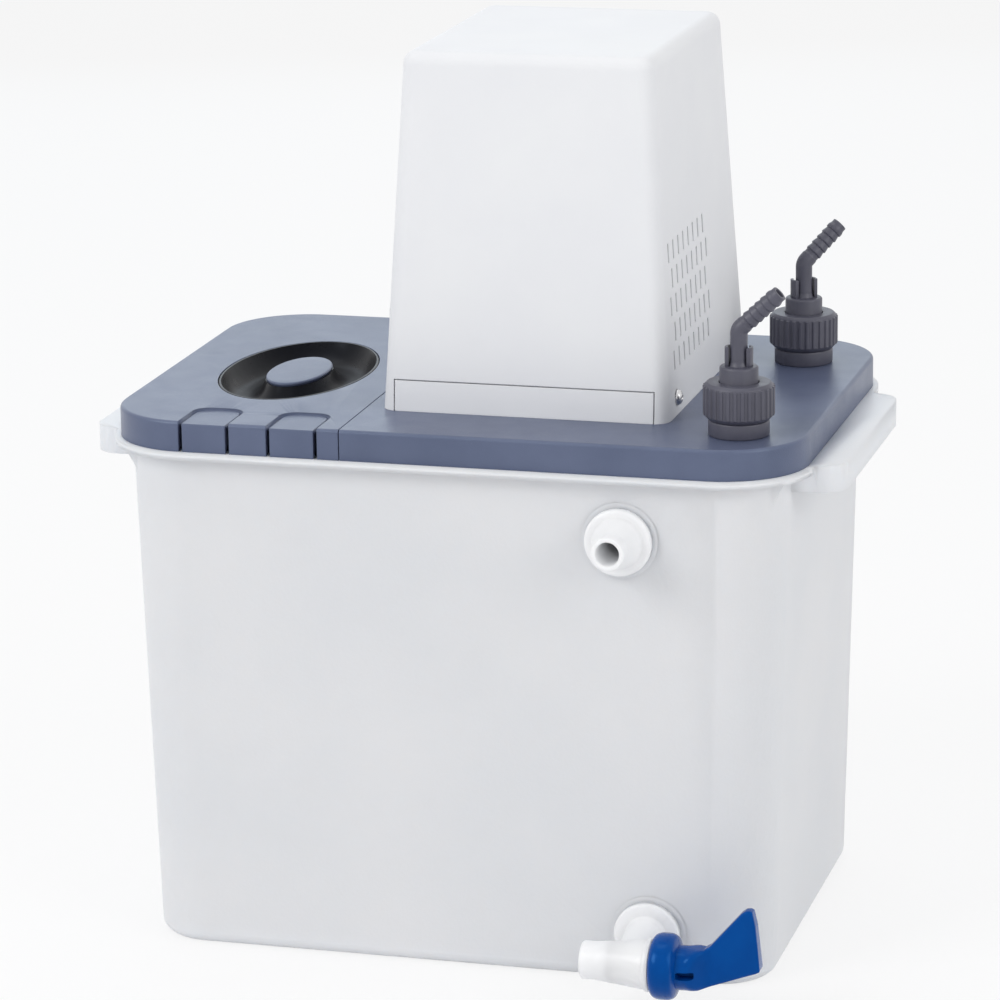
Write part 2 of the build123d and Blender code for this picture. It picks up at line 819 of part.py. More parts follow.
pivot = switch_plane.offset(-1.5)
rocker_side = Plane(origin=pivot.origin, x_dir=pivot.x_dir, z_dir=-pivot.y_dir)
with BuildPart() as power_rocker:
    with BuildSketch(rocker_side) as rocker_shape:
        with BuildLine(mode=Mode.PRIVATE) as rocker_edge:
            Polyline(
                (-rocker_half, 2.2),
                (-rocker_half, 4.6),
                (0, 3.4),
                (rocker_half, 4.6),
                (rocker_half, 2.2),
                (3.2, -3),
                (-3.2, -3),
                close=True,
            )
        add(make_face(rocker_edge.edges(), mode=Mode.PRIVATE), rotation=-rocker_tilt)
    extrude(rocker_shape.sketch, amount=rocker_width / 2, both=True)
save(power_rocker, "power_rocker")

# Motor: laminated core on four posts, windings, end bells and two bearings
shaft_base = upright(cover_x, cover_y)
core_top = core_bottom + core_height
with BuildPart() as stator_core:
    with BuildSketch(shaft_base.offset(core_bottom)):
        RectangleRounded(core_side, core_side, 6)
        Circle(core_bore, mode=Mode.SUBTRACT)
        with GridLocations(2 * post_spread, 2 * post_spread, 2, 2):
            Circle(screw_shank + screw_play, mode=Mode.SUBTRACT)
    extrude(amount=core_height)
save(stator_core, "stator_core")

with BuildPart() as stator_windings:
    for low in (core_bottom - winding_height, core_top):
        spin(
            [
                (core_bore + 1.5, low),
                (winding_radius, low),
                (winding_radius, low + winding_height),
                (core_bore + 1.5, low + winding_height),
            ],
            shaft_base,
        )
save(stator_windings, "stator_windings")

for name, face, out in (("lower", core_bottom, -1), ("upper", core_top, 1)):
    end = face + out * bell_height
    inner_end = end - out * bell_wall
    seat_end = end - out * bearing_width
    with BuildPart() as bell:
        spin(
            [
                (bell_radius - bell_wall, face),
                (bell_radius, face),
                (bell_radius, end - out * 2),
                (bell_radius - 3, end),
                (bearing_radius + fit_gap, end),
                (bearing_radius + fit_gap, seat_end),
                (bearing_radius + 2.5, seat_end),
                (bearing_radius + 2.5, inner_end),
                (bell_radius - bell_wall, inner_end),
            ],
            shaft_base,
        )
    save(bell, f"{name}_end_bell")
    with BuildPart() as bearing:
        spin(
            [
                (shaft_radius + running_play, seat_end),
                (shaft_radius + 1.6, seat_end),
                (shaft_radius + 1.8, seat_end + out * 0.5),
                (bearing_radius - 1.8, seat_end + out * 0.5),
                (bearing_radius - 1.6, seat_end),
                (bearing_radius, seat_end),
                (bearing_radius, end),
                (bearing_radius - 1.6, end),
                (bearing_radius - 1.8, end - out * 0.5),
                (shaft_radius + 1.8, end - out * 0.5),
                (shaft_radius + 1.6, end),
                (shaft_radius + running_play, end),
            ],
            shaft_base,
        )
    save(bearing, f"{name}_bearing")

with BuildPart() as motor_posts:
    with BuildSketch(shaft_base.offset(tray_top)):
        with GridLocations(2 * post_spread, 2 * post_spread, 2, 2):
            Circle(post_radius)
            Circle(screw_shank + screw_play, mode=Mode.SUBTRACT)
    extrude(amount=core_bottom - tray_top)
save(motor_posts, "motor_posts")

with BuildPart() as motor_bolts:
    with BuildSketch(shaft_base.offset(tray_top)) as shanks:
        with GridLocations(2 * post_spread, 2 * post_spread, 2, 2):
            Circle(screw_shank)
    extrude(shanks.sketch, amount=core_top - tray_top)
    with BuildSketch(shaft_base.offset(core_top)) as heads:
        with GridLocations(2 * post_spread, 2 * post_spread, 2, 2):
            RegularPolygon(4, 6)
    extrude(heads.sketch, amount=3)
save(motor_bolts, "motor_bolts")

# Turning group: shaft, rotor, cooling fan and pump impeller
impeller_bottom = casing_bottom + 3
with BuildPart() as motor_shaft:
    spin(
        [
            (0, impeller_bottom),
            (shaft_radius, impeller_bottom),
            (shaft_radius, shaft_top - 0.6),
            (shaft_radius - 0.6, shaft_top),
            (0, shaft_top),
        ],
        shaft_base,
    )
save(motor_shaft, "motor_shaft")

with BuildPart() as rotor_core:
    spin(
        [
            (shaft_radius + fit_gap, core_bottom),
            (core_bore - rotor_play, core_bottom),
            (core_bore - rotor_play, core_top),
            (shaft_radius + fit_gap, core_top),
        ],
        shaft_base,
    )
save(rotor_core, "rotor_core")

with BuildPart() as cooling_fan:
    with BuildSketch(shaft_base.offset(fan_bottom)) as disc:
        Circle(fan_radius)
        Circle(shaft_radius + fit_gap, mode=Mode.SUBTRACT)
    extrude(disc.sketch, amount=2)
    with BuildSketch(shaft_base.offset(fan_bottom)) as hub:
        Circle(2.2 * shaft_radius)
        Circle(shaft_radius + fit_gap, mode=Mode.SUBTRACT)
    extrude(hub.sketch, amount=fan_height)
    with BuildSketch(shaft_base.offset(fan_bottom)) as blades:
        with PolarLocations((fan_radius + 12) / 2, blade_count):
            Rectangle(fan_radius - 12, 1.6)
    extrude(blades.sketch, amount=fan_height)
save(cooling_fan, "cooling_fan")

with BuildPart() as pump_impeller:
    with BuildSketch(shaft_base.offset(impeller_bottom)) as hub:
        Circle(2.2 * shaft_radius)
        Circle(shaft_radius + fit_gap, mode=Mode.SUBTRACT)
    extrude(hub.sketch, amount=14)
    with BuildSketch(shaft_base.offset(impeller_bottom + 12)) as disc:
        Circle(impeller_radius)
        Circle(shaft_radius + fit_gap, mode=Mode.SUBTRACT)
    extrude(disc.sketch, amount=2)
    with BuildSketch(shaft_base.offset(impeller_bottom + 2)) as vanes:
        with PolarLocations((impeller_radius + 10) / 2, 6, rotate=True):
            with Locations(Location((0, 0), 25)):
                Rectangle(impeller_radius - 12, 2)
    extrude(vanes.sketch, amount=10)
save(pump_impeller, "pump_impeller")

# Pump: column under the lid, casing with a side outlet, bush and strainer
flange_low = lid_underside - column_flange_height
with BuildPart() as pump_column:
    spin(
        [
            (column_radius - column_wall, casing_top),
            (column_radius, casing_top),
            (column_radius, flange_low - 4),
            (column_radius + 4, flange_low),
            (column_flange, flange_low),
            (column_flange, lid_underside),
            (column_radius - column_wall, lid_underside),
        ],
        shaft_base,
    )
    with BuildSketch(shaft_base.offset(flange_low - 4)) as bolt_holes:
        with PolarLocations(bolt_circle, 4, 45):
            Circle(screw_shank + screw_play)
    extrude(bolt_holes.sketch, amount=8, mode=Mode.SUBTRACT)
save(pump_column, "pump_column")

with BuildPart() as unit_bolts:
    with BuildSketch(shaft_base.offset(flange_low - 3)) as shanks:
        with PolarLocations(bolt_circle, 4, 45):
            Circle(screw_shank)
    extrude(shanks.sketch, amount=tray_top - flange_low + 3)
    with BuildSketch(shaft_base.offset(tray_top)) as heads:
        with PolarLocations(bolt_circle, 4, 45):
            RegularPolygon(4, 6)
    extrude(heads.sketch, amount=3)
save(unit_bolts, "unit_bolts")

chamber_top = casing_bottom + chamber_height
bush_radius = 2 * shaft_radius
stub_end = cover_x + casing_radius + casing_stub
outlet_plane = Plane(origin=(cover_x, cover_y, outlet_height), x_dir=(0, 1, 0), z_dir=(1, 0, 0))
with BuildPart() as pump_casing:
    with BuildSketch(shaft_base.offset(casing_bottom)) as outline:
        Circle(casing_radius)
    extrude(outline.sketch, amount=casing_top - casing_bottom)
    with BuildSketch(outlet_plane) as stub:
        Circle(pipe_radius)
    extrude(stub.sketch, amount=casing_radius + casing_stub)
    spin(
        [
            (0, casing_bottom),
            (casing_radius - casing_wall, casing_bottom),
            (casing_radius - casing_wall, chamber_top),
            (bush_radius + fit_gap, chamber_top),
            (bush_radius + fit_gap, casing_top),
            (0, casing_top),
        ],
        shaft_base,
        Mode.SUBTRACT,
    )
    with BuildSketch(outlet_plane) as outlet:
        Circle(pipe_bore)
    extrude(outlet.sketch, amount=casing_radius + casing_stub, mode=Mode.SUBTRACT)
save(pump_casing, "pump_casing")

with BuildPart() as shaft_bush:
    with BuildSketch(shaft_base.offset(chamber_top)):
        Circle(bush_radius)
        Circle(shaft_radius + running_play, mode=Mode.SUBTRACT)
    extrude(amount=casing_top - chamber_top)
save(shaft_bush, "shaft_bush")

plate_low = casing_bottom - 4
with BuildPart() as pump_strainer:
    spin(
        [
            (inlet_radius, casing_bottom),
            (casing_radius, casing_bottom),
            (casing_radius, plate_low),
            (strainer_radius, plate_low),
            (strainer_radius, strainer_bottom),
            (0, strainer_bottom),
            (0, strainer_bottom + 2),
            (strainer_radius - 2.5, strainer_bottom + 2),
            (strainer_radius - 2.5, plate_low),
            (inlet_radius, plate_low),
        ],
        shaft_base,
    )
    with BuildSketch(shaft_base.offset(strainer_bottom + 4)) as slots:
        with PolarLocations(strainer_radius - 1, 12):
            Rectangle(6, 3)
    extrude(slots.sketch, amount=8, mode=Mode.SUBTRACT)
save(pump_strainer, "pump_strainer")

# Delivery pipe: up from the pump, along a header and out to each ejector
header_low = port_ys["front"]
header_high = port_ys["rear"]
branch_end = port_x - stub_reach


def pipe_run(radius, extra, mode):
    """The whole pipe as one bundle of straight tubes of a radius."""
    runs = (
        ((stub_end, cover_y, outlet_height), (1, 0, 0), riser_x - stub_end + extra),
        ((riser_x, cover_y, outlet_height - extra), (0, 0, 1), jet_height - outlet_height + extra),
        ((riser_x, header_low - extra, jet_height), (0, 1, 0), header_high - header_low + 2 * extra),
        ((riser_x, header_low, jet_height), (1, 0, 0), branch_end - riser_x),
        ((riser_x, header_high, jet_height), (1, 0, 0), branch_end - riser_x),
    )
    for start, direction, length in runs:
        with BuildSketch(Plane(origin=start, z_dir=direction)) as ring:
            Circle(radius)
        extrude(ring.sketch, amount=length, mode=mode)


with BuildPart() as delivery_pipe:
    pipe_run(pipe_radius, pipe_radius, Mode.ADD)
    pipe_run(pipe_bore, 0, Mode.SUBTRACT)
save(delivery_pipe, "delivery_pipe")

# Each port: ejector and jet under the lid, neck, check valve, seal, union nut and elbow
neck_top = lid_top + neck_height
flange_start = neck_top + washer_thickness
union_shoulder = lid_top + union_top - union_top_wall
seat_low = neck_top - seat_thickness
chamber_low = neck_top - chamber_depth
poppet_top = seat_low - 0.1
head_low = poppet_top - 3.5
jet_end = ejector_bottom + 5
for name, y in port_ys.items():
    base = upright(port_x, y)
    side_in = Plane(origin=(port_x, y, jet_height), x_dir=(0, 1, 0), z_dir=(-1, 0, 0))

    with BuildPart() as ejector:
        spin(
            [
                (0, tail_bottom),
                (pipe_radius, tail_bottom),
                (pipe_radius, ejector_bottom - 8),
                (ejector_radius, ejector_bottom + 4),
                (ejector_radius, lid_underside),
                (0, lid_underside),
            ],
            base,
        )
        with BuildSketch(side_in) as stub:
            Circle(pipe_radius)
        extrude(stub.sketch, amount=stub_reach)
        spin(
            [
                (0, tail_bottom),
                (pipe_bore, tail_bottom),
                (throat_bore, ejector_bottom - 6),
                (throat_bore, ejector_bottom),
                (suction_bore, ejector_bottom + suction_bore),
                (suction_bore, jet_height + suction_bore),
                (pipe_bore, jet_height + 1.5 * suction_bore),
                (pipe_bore, spigot_low - 2),
                (neck_spigot + hole_play, spigot_low - 2),
                (neck_spigot + hole_play, lid_underside),
                (0, lid_underside),
            ],
            base,
            Mode.SUBTRACT,
        )
        with BuildSketch(side_in) as feed:
            Circle(pipe_bore)
        extrude(feed.sketch, amount=stub_reach, mode=Mode.SUBTRACT)
    save(ejector, f"ejector_{name}")

    with BuildPart() as jet:
        with BuildSketch(side_in.offset(-4)) as tube:
            Circle(pipe_bore - 0.1)
        extrude(tube.sketch, amount=stub_reach + 4)
        spin(
            [
                (0, jet_height),
                (jet_bore + 1.6 * jet_wall, jet_height),
                (jet_tip + jet_wall, jet_end),
                (0, jet_end),
            ],
            base,
        )
        with BuildSketch(side_in) as way:
            Circle(jet_bore)
        extrude(way.sketch, amount=stub_reach, mode=Mode.SUBTRACT)
        with BuildSketch(base.offset(jet_end)) as tip:
            Circle(jet_tip)
        extrude(tip.sketch, amount=jet_height - jet_end, mode=Mode.SUBTRACT)
    save(jet, f"water_jet_{name}")

    with BuildPart() as neck:
        spin(
            [
                (seat_bore, spigot_low),
                (neck_spigot, spigot_low),
                (neck_spigot, lid_top),
                (neck_flange, lid_top),
                (neck_flange, lid_top + neck_flange_height - 0.8),
                (neck_flange - 0.8, lid_top + neck_flange_height),
                (neck_thread, lid_top + neck_flange_height),
                (neck_thread, neck_top),
                (seat_bore, neck_top),
                (seat_bore, seat_low),
                (chamber_radius, seat_low),
                (chamber_radius, chamber_low),
                (seat_bore, chamber_low),
            ],
            base,
        )
    save(neck, f"port_neck_{name}")

    with BuildPart() as poppet:
        spin(
            [
                (0, chamber_low + poppet_travel + 3),
                (spring_radius - spring_wire - 0.5, chamber_low + poppet_travel + 3),
                (spring_radius - spring_wire - 0.5, head_low),
                (poppet_radius, head_low),
                (poppet_radius, head_low + 2),
                (seat_bore + 0.4, poppet_top),
                (0, poppet_top),
            ],
            base,
        )
    save(poppet, f"check_poppet_{name}")

    coil_low = chamber_low + spring_wire + 0.05
    coil_height = head_low - spring_wire - 0.05 - coil_low
    with BuildPart() as spring:
        with BuildLine():
            coil = Helix(
                pitch=coil_height / spring_turns,
                height=coil_height,
                radius=spring_radius,
                center=(port_x, y, coil_low),
            )
        with BuildSketch(Plane(origin=coil @ 0, z_dir=coil % 0)):
            RegularPolygon(spring_wire, 6)
        sweep(is_frenet=True)
    save(spring, f"check_spring_{name}")

    with BuildPart() as washer:
        with BuildSketch(base.offset(neck_top)):
            Circle(elbow_flange - 0.4)
            Circle(seat_bore + 1, mode=Mode.SUBTRACT)
        extrude(amount=washer_thickness)
    save(washer, f"port_seal_{name}")

    with BuildPart() as union_nut:
        spin(
            [
                (neck_thread + 0.3, lid_top + union_bottom),
                (union_radius - 1.6, lid_top + union_bottom),
                (union_radius, lid_top + union_bottom + 1.6),
                (union_radius, lid_top + union_top - 1),
                (union_radius - 1, lid_top + union_top),
                (elbow_collar + 0.3, lid_top + union_top),
                (elbow_collar + 0.3, union_shoulder),
                (neck_thread + 0.3, union_shoulder),
            ],
            base,
        )
        with BuildSketch(base.offset(lid_top + union_bottom + 2.5)) as ribs:
            with PolarLocations(union_radius, union_ribs):
                Rectangle(2 * union_rib, 1.5)
        extrude(ribs.sketch, amount=union_top - union_bottom - 4.5)
    save(union_nut, f"union_nut_{name}")

    turn = math.radians(port_turns[name])
    tilt = math.radians(elbow_tilt)
    heading = Vector(math.cos(turn), math.sin(turn), 0)
    barb_way = heading * math.sin(tilt) + Vector(0, 0, math.cos(tilt))
    bend = Vector(port_x, y, lid_top + elbow_bend_height)
    across = Vector(-math.sin(turn), math.cos(turn), 0)
    barb_plane = Plane(origin=bend, x_dir=across, z_dir=barb_way)
    collar_top = lid_top + elbow_collar_height
    barb_points = [(0, 0), (elbow_stem, 0), (elbow_stem, 3.5), (barb_core, 4.2)]
    ring_start = barb_length - barb_pitch * barb_count - barb_tip
    for ring in range(barb_count):
        low = ring_start + ring * barb_pitch
        crest_low = low + barb_ramp
        land = barb_tip if ring == barb_count - 1 else barb_land
        barb_points += [(barb_core, low), (barb_crest, crest_low), (barb_crest, crest_low + land)]
        barb_points += [(barb_core, low + barb_pitch - barb_ramp)]
    barb_points += [(barb_core, barb_length), (0, barb_length)]
    with BuildPart() as elbow:
        spin(
            [
                (0, flange_start),
                (elbow_flange, flange_start),
                (elbow_flange, flange_start + elbow_flange_thickness),
                (elbow_collar, flange_start + elbow_flange_thickness),
                (elbow_collar, collar_top - 0.8),
                (elbow_collar - 0.8, collar_top),
                (elbow_foot, collar_top),
                (elbow_stem, collar_top + 2),
                (elbow_stem, lid_top + elbow_bend_height),
                (0, lid_top + elbow_bend_height),
            ],
            base,
        )
        with BuildSketch(base.offset(collar_top)) as tongues:
            Circle(tongue_outer)
            Circle(tongue_inner, mode=Mode.SUBTRACT)
            Rectangle(
                2 * tongue_outer,
                tongue_width,
                rotation=port_turns[name],
                mode=Mode.INTERSECT,
            )
        extrude(tongues.sketch, amount=tongue_height - elbow_collar_height)
        with Locations(bend):
            Sphere(elbow_stem)
        spin(barb_points, barb_plane)
        spin(
            [
                (0, flange_start),
                (seat_bore, flange_start),
                (seat_bore, collar_top - 5),
                (elbow_bore, collar_top - 3),
                (elbow_bore, lid_top + elbow_bend_height),
                (0, lid_top + elbow_bend_height),
            ],
            base,
            Mode.SUBTRACT,
        )
        with Locations(bend):
            Sphere(elbow_bore, mode=Mode.SUBTRACT)
        spin(
            [(0, 0), (elbow_bore, 0), (elbow_bore, barb_length), (0, barb_length)],
            barb_plane,
            Mode.SUBTRACT,
        )
    save(elbow, f"hose_elbow_{name}")
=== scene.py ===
import json
import math
import bpy
import bmesh
import numpy as np
from mathutils import Matrix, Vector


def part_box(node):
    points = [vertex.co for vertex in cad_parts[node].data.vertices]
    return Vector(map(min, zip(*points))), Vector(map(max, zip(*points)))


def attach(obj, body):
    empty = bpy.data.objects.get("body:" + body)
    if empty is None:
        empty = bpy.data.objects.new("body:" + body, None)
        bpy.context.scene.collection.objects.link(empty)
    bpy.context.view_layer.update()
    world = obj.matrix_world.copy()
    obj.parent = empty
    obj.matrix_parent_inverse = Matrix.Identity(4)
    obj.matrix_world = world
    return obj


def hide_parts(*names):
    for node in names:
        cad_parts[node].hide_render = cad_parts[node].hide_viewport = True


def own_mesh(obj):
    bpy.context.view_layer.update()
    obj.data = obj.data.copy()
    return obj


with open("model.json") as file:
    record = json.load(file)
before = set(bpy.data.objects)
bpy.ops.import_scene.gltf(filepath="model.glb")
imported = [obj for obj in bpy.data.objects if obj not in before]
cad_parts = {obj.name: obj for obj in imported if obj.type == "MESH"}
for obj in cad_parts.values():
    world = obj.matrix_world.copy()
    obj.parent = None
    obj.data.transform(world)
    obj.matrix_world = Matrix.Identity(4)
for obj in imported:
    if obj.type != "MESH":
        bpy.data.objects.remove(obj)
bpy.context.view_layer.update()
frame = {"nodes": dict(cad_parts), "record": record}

# Camera, at the height and angle from which the bench photograph looks down on the lid:
# a long lens two metres away, turned a little to the left so that the right side shows.
eye = (0.5299, -1.9195, 0.7278)
turn_left = math.radians(15.5)
look_down = math.radians(15.1)
lean = math.radians(-0.8)
lens_mm = 160.99
sensor_mm = 36.0
farthest_seen = 60.0


def camera_axes(turn, down, roll):
    """The camera's right, up and back vectors: it looks along its heading, dipped by the down
    angle, and its right and up are turned about that line by the roll."""
    ahead = np.array([-math.sin(turn) * math.cos(down), math.cos(turn) * math.cos(down), -math.sin(down)])
    right = np.array([math.cos(turn), math.sin(turn), 0.0])
    above = np.cross(right, ahead)
    rolled_right = right * math.cos(roll) + above * math.sin(roll)
    rolled_up = above * math.cos(roll) - right * math.sin(roll)
    return rolled_right, rolled_up, -ahead


camera = bpy.data.objects.new("camera", bpy.data.cameras.new("camera"))
camera.data.lens = lens_mm
camera.data.sensor_width = sensor_mm
camera.data.clip_end = farthest_seen
axes = np.array(camera_axes(turn_left, look_down, lean)).T
camera.matrix_world = Matrix.Translation(eye) @ Matrix(axes.tolist()).to_4x4()
bpy.context.scene.collection.objects.link(camera)
bpy.context.scene.camera = camera
bpy.context.scene.view_settings.view_transform = "Standard"


# Studio: a pale floor that fades to white in an even white room, a broad soft lamp to the
# front left, a weaker one to the right and one overhead, and a cool panel behind that the
# top of the lid reflects.
def soft_lamp(name, place, aim, size, watts, colour=(1.0, 1.0, 1.0)):
    """A square lamp that faces the aim: its back lies on the line from the aim, its side is level."""
    lamp = bpy.data.objects.new(name, bpy.data.lights.new(name, "AREA"))
    lamp.data.size = size
    lamp.data.energy = watts
    lamp.data.color = colour
    back = np.array(place) - np.array(aim)
    back = back / np.linalg.norm(back)
    side = np.cross((0.0, 0.0, 1.0), back)
    side = side / np.linalg.norm(side)
    turned = np.array([side, np.cross(back, side), back]).T
    lamp.matrix_world = Matrix.Translation(place) @ Matrix(turned.tolist()).to_4x4()
    bpy.context.scene.collection.objects.link(lamp)


soft_lamp("key_lamp", (-1.5, -1.7, 1.7), (0.0, 0.0, 0.2), size=1.3, watts=23.5)
soft_lamp("side_lamp", (1.9, -0.9, 1.2), (0.0, 0.0, 0.2), size=1.4, watts=12.5)
soft_lamp("top_lamp", (-0.3, 0.5, 2.2), (0.0, 0.05, 0.2), size=1.5, watts=7.5)
soft_lamp("back_panel", (-0.74, 1.96, 1.0), (-0.05, 0.0, 0.28), size=1.6, watts=3.6,
          colour=(0.6, 0.82, 1.0))

room_white = 0.6
world = bpy.data.worlds.new("white_room")
world.use_nodes = True
world_tree = world.node_tree
sky = world_tree.nodes["Background"]
sky.inputs["Color"].default_value = (1.0, 1.0, 1.0, 1.0)
level = world_tree.nodes.new("ShaderNodeMapRange")
level.inputs["To Min"].default_value = room_white
level.inputs["To Max"].default_value = 1.0


def seen_ray(tree):
    """One for a ray that shows the background: from the camera, a reflection or clear plastic."""
    rays = tree.nodes.new("ShaderNodeLightPath")
    seen = rays.outputs["Is Camera Ray"]
    for kind in ("Is Glossy Ray", "Is Transmission Ray"):
        either = tree.nodes.new("ShaderNodeMath")
        either.operation = "MAXIMUM"
        tree.links.new(seen, either.inputs[0])
        tree.links.new(rays.outputs[kind], either.inputs[1])
        seen = either.outputs[0]
    return seen


world_tree.links.new(seen_ray(world_tree), level.inputs["Value"])
world_tree.links.new(level.outputs["Result"], sky.inputs["Strength"])
bpy.context.scene.world = world

half_floor = 15.0
floor_white = (0.86, 0.86, 0.87, 1.0)
floor_glow = 0.78
floor_corners = [(-half_floor, -half_floor, 0), (half_floor, -half_floor, 0),
                 (half_floor, half_floor, 0), (-half_floor, half_floor, 0)]
floor_mesh = bpy.data.meshes.new("floor")
floor_mesh.from_pydata(floor_corners, [], [(0, 1, 2, 3)])
floor = bpy.data.objects.new("floor", floor_mesh)
bpy.context.scene.collection.objects.link(floor)
floor_finish = bpy.data.materials.new("white_bench")
floor_finish.use_nodes = True
floor_tree = floor_finish.node_tree
bench = floor_tree.nodes["Principled BSDF"]
bench.inputs["Base Color"].default_value = floor_white
bench.inputs["Roughness"].default_value = 0.6
bench.inputs["Specular IOR Level"].default_value = 0.2
glow = floor_tree.nodes.new("ShaderNodeEmission")
glow.inputs["Color"].default_value = (1.0, 1.0, 1.0, 1.0)
fade = floor_tree.nodes.new("ShaderNodeMixShader")
share = floor_tree.nodes.new("ShaderNodeMath")
share.operation = "MULTIPLY"
share.inputs[1].default_value = floor_glow
floor_tree.links.new(seen_ray(floor_tree), share.inputs[0])
floor_tree.links.new(share.outputs[0], fade.inputs[0])
floor_tree.links.new(bench.outputs[0], fade.inputs[1])
floor_tree.links.new(glow.outputs[0], fade.inputs[2])
floor_tree.links.new(fade.outputs[0], floor_tree.nodes["Material Output"].inputs["Surface"])
floor.data.materials.append(floor_finish)


# Tank: one polyethylene moulding, milky white, with a waxy skin that is slightly uneven
# where the mould was hottest. Its rim, grips and pads are part of it.
def screen(red, green, blue):
    """A screen colour, 0 to 255, as light: each share is lifted by 0.055 and raised to the power
    2.4, apart from the darkest, which are divided by 12.92."""
    share = np.array([red, green, blue]) / 255.0
    light = np.where(share < 0.04045, share / 12.92, ((share + 0.055) / 1.055) ** 2.4)
    return (*light.tolist(), 1.0)


def moulded(name, colour, other, rough, grain=0.0006, depth=0.15, patch=0.05, edge=0.0004, speck=0.0):
    """Plastic in two close colours that blend in soft patches, with a fine grain in relief and a
    gloss that wanders about its roughness. The grain, the patches and the radius by which the
    shading rounds an edge are sizes, and the speck is how strongly pale dots show."""
    patch_low = 0.35
    patch_high = 0.65
    glossier = 0.85
    duller = 1.2
    smears_per_patch = 2.7
    speck_spacing = 1.0 / 260.0
    speck_reach = 0.05
    speck_colour = (0.75, 0.76, 0.78, 1.0)
    finish = bpy.data.materials.new(name)
    finish.use_nodes = True
    tree = finish.node_tree
    shader = tree.nodes["Principled BSDF"]
    place = tree.nodes.new("ShaderNodeTexCoord")
    clouds = tree.nodes.new("ShaderNodeTexNoise")
    clouds.inputs["Scale"].default_value = 1.0 / patch
    clouds.inputs["Detail"].default_value = 5.0
    blend = tree.nodes.new("ShaderNodeMix")
    blend.data_type = "RGBA"
    blend.inputs["A"].default_value = colour
    blend.inputs["B"].default_value = other
    spread = tree.nodes.new("ShaderNodeMapRange")
    spread.inputs["From Min"].default_value = patch_low
    spread.inputs["From Max"].default_value = patch_high
    gloss = tree.nodes.new("ShaderNodeMapRange")
    gloss.inputs["To Min"].default_value = rough * glossier
    gloss.inputs["To Max"].default_value = min(rough * duller, 1.0)
    smears = tree.nodes.new("ShaderNodeTexNoise")
    smears.inputs["Scale"].default_value = smears_per_patch / patch
    smears.inputs["Detail"].default_value = 3.0
    grains = tree.nodes.new("ShaderNodeTexNoise")
    grains.inputs["Scale"].default_value = 1.0 / grain
    grains.inputs["Detail"].default_value = 2.0
    relief = tree.nodes.new("ShaderNodeBump")
    relief.inputs["Strength"].default_value = depth
    relief.inputs["Distance"].default_value = grain * 0.5
    for texture in (clouds, smears, grains):
        tree.links.new(place.outputs["Object"], texture.inputs["Vector"])
    tree.links.new(clouds.outputs["Fac"], spread.inputs["Value"])
    tree.links.new(spread.outputs["Result"], blend.inputs["Factor"])
    tree.links.new(smears.outputs["Fac"], gloss.inputs["Value"])
    tree.links.new(gloss.outputs["Result"], shader.inputs["Roughness"])
    tree.links.new(grains.outputs["Fac"], relief.inputs["Height"])
    if edge:
        rounding = tree.nodes.new("ShaderNodeBevel")
        rounding.samples = 6
        rounding.inputs["Radius"].default_value = edge
        tree.links.new(rounding.outputs["Normal"], relief.inputs["Normal"])
    tree.links.new(relief.outputs["Normal"], shader.inputs["Normal"])
    colour_out = blend.outputs["Result"]
    if speck:
        dots = tree.nodes.new("ShaderNodeTexVoronoi")
        dots.inputs["Scale"].default_value = 1.0 / speck_spacing
        tree.links.new(place.outputs["Object"], dots.inputs["Vector"])
        near = tree.nodes.new("ShaderNodeMapRange")
        near.inputs["From Min"].default_value = speck_reach
        near.inputs["From Max"].default_value = 0.0
        near.inputs["To Max"].default_value = speck
        tree.links.new(dots.outputs["Distance"], near.inputs["Value"])
        dusted = tree.nodes.new("ShaderNodeMix")
        dusted.data_type = "RGBA"
        dusted.inputs["B"].default_value = speck_colour
        tree.links.new(near.outputs["Result"], dusted.inputs["Factor"])
        tree.links.new(colour_out, dusted.inputs["A"])
        colour_out = dusted.outputs["Result"]
    tree.links.new(colour_out, shader.inputs["Base Color"])
    return finish


bodies = frame["record"]["behaviour"]["bodies"]
body_of_node = {node: body for body, nodes in bodies.items() for node in nodes}
slot_of_node = {entry["node"]: entry["material_slot"] for entry in frame["record"]["subparts"]}


def settle(piece, finish, *nodes):
    """A finished piece takes the finish, rides with the first node's body and stands for the nodes."""
    piece.data.materials.clear()
    piece.data.materials.append(finish)
    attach(piece, body_of_node[nodes[0]])
    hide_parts(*nodes)
    return piece


def smooth(mesh, angle=40.0):
    """Shades a mesh as curved, apart from its edges that turn by more than the angle."""
    mesh.polygons.foreach_set("use_smooth", np.ones(len(mesh.polygons), dtype=bool))
    mesh.set_sharp_from_angle(angle=math.radians(angle))
    mesh.update()


def weld(source, mesh, outwards=False):
    """Fills the mesh with the source's faces, their shared corners joined and their slivers gone,
    and if asked with every face turned outwards."""
    same_corner = 2e-6
    sliver = 1e-6
    welded = bmesh.new()
    welded.from_mesh(source)
    bmesh.ops.remove_doubles(welded, verts=welded.verts, dist=same_corner)
    bmesh.ops.dissolve_degenerate(welded, edges=welded.edges, dist=sliver)
    if outwards:
        bmesh.ops.recalc_face_normals(welded, faces=welded.faces)
    welded.to_mesh(mesh)
    welded.free()


def skin(node, finish, angle=35.0):
    """A piece's outer skin: the node's own faces, joined and shaded as one curved surface."""
    mesh = bpy.data.meshes.new(f"{node}_skin")
    weld(frame["nodes"][node].data, mesh)
    smooth(mesh, angle)
    piece = bpy.data.objects.new(f"{node}_skin", mesh)
    bpy.context.scene.collection.objects.link(piece)
    even = piece.modifiers.new("even_shading", "WEIGHTED_NORMAL")
    even.keep_sharp = True
    return settle(piece, finish, node)


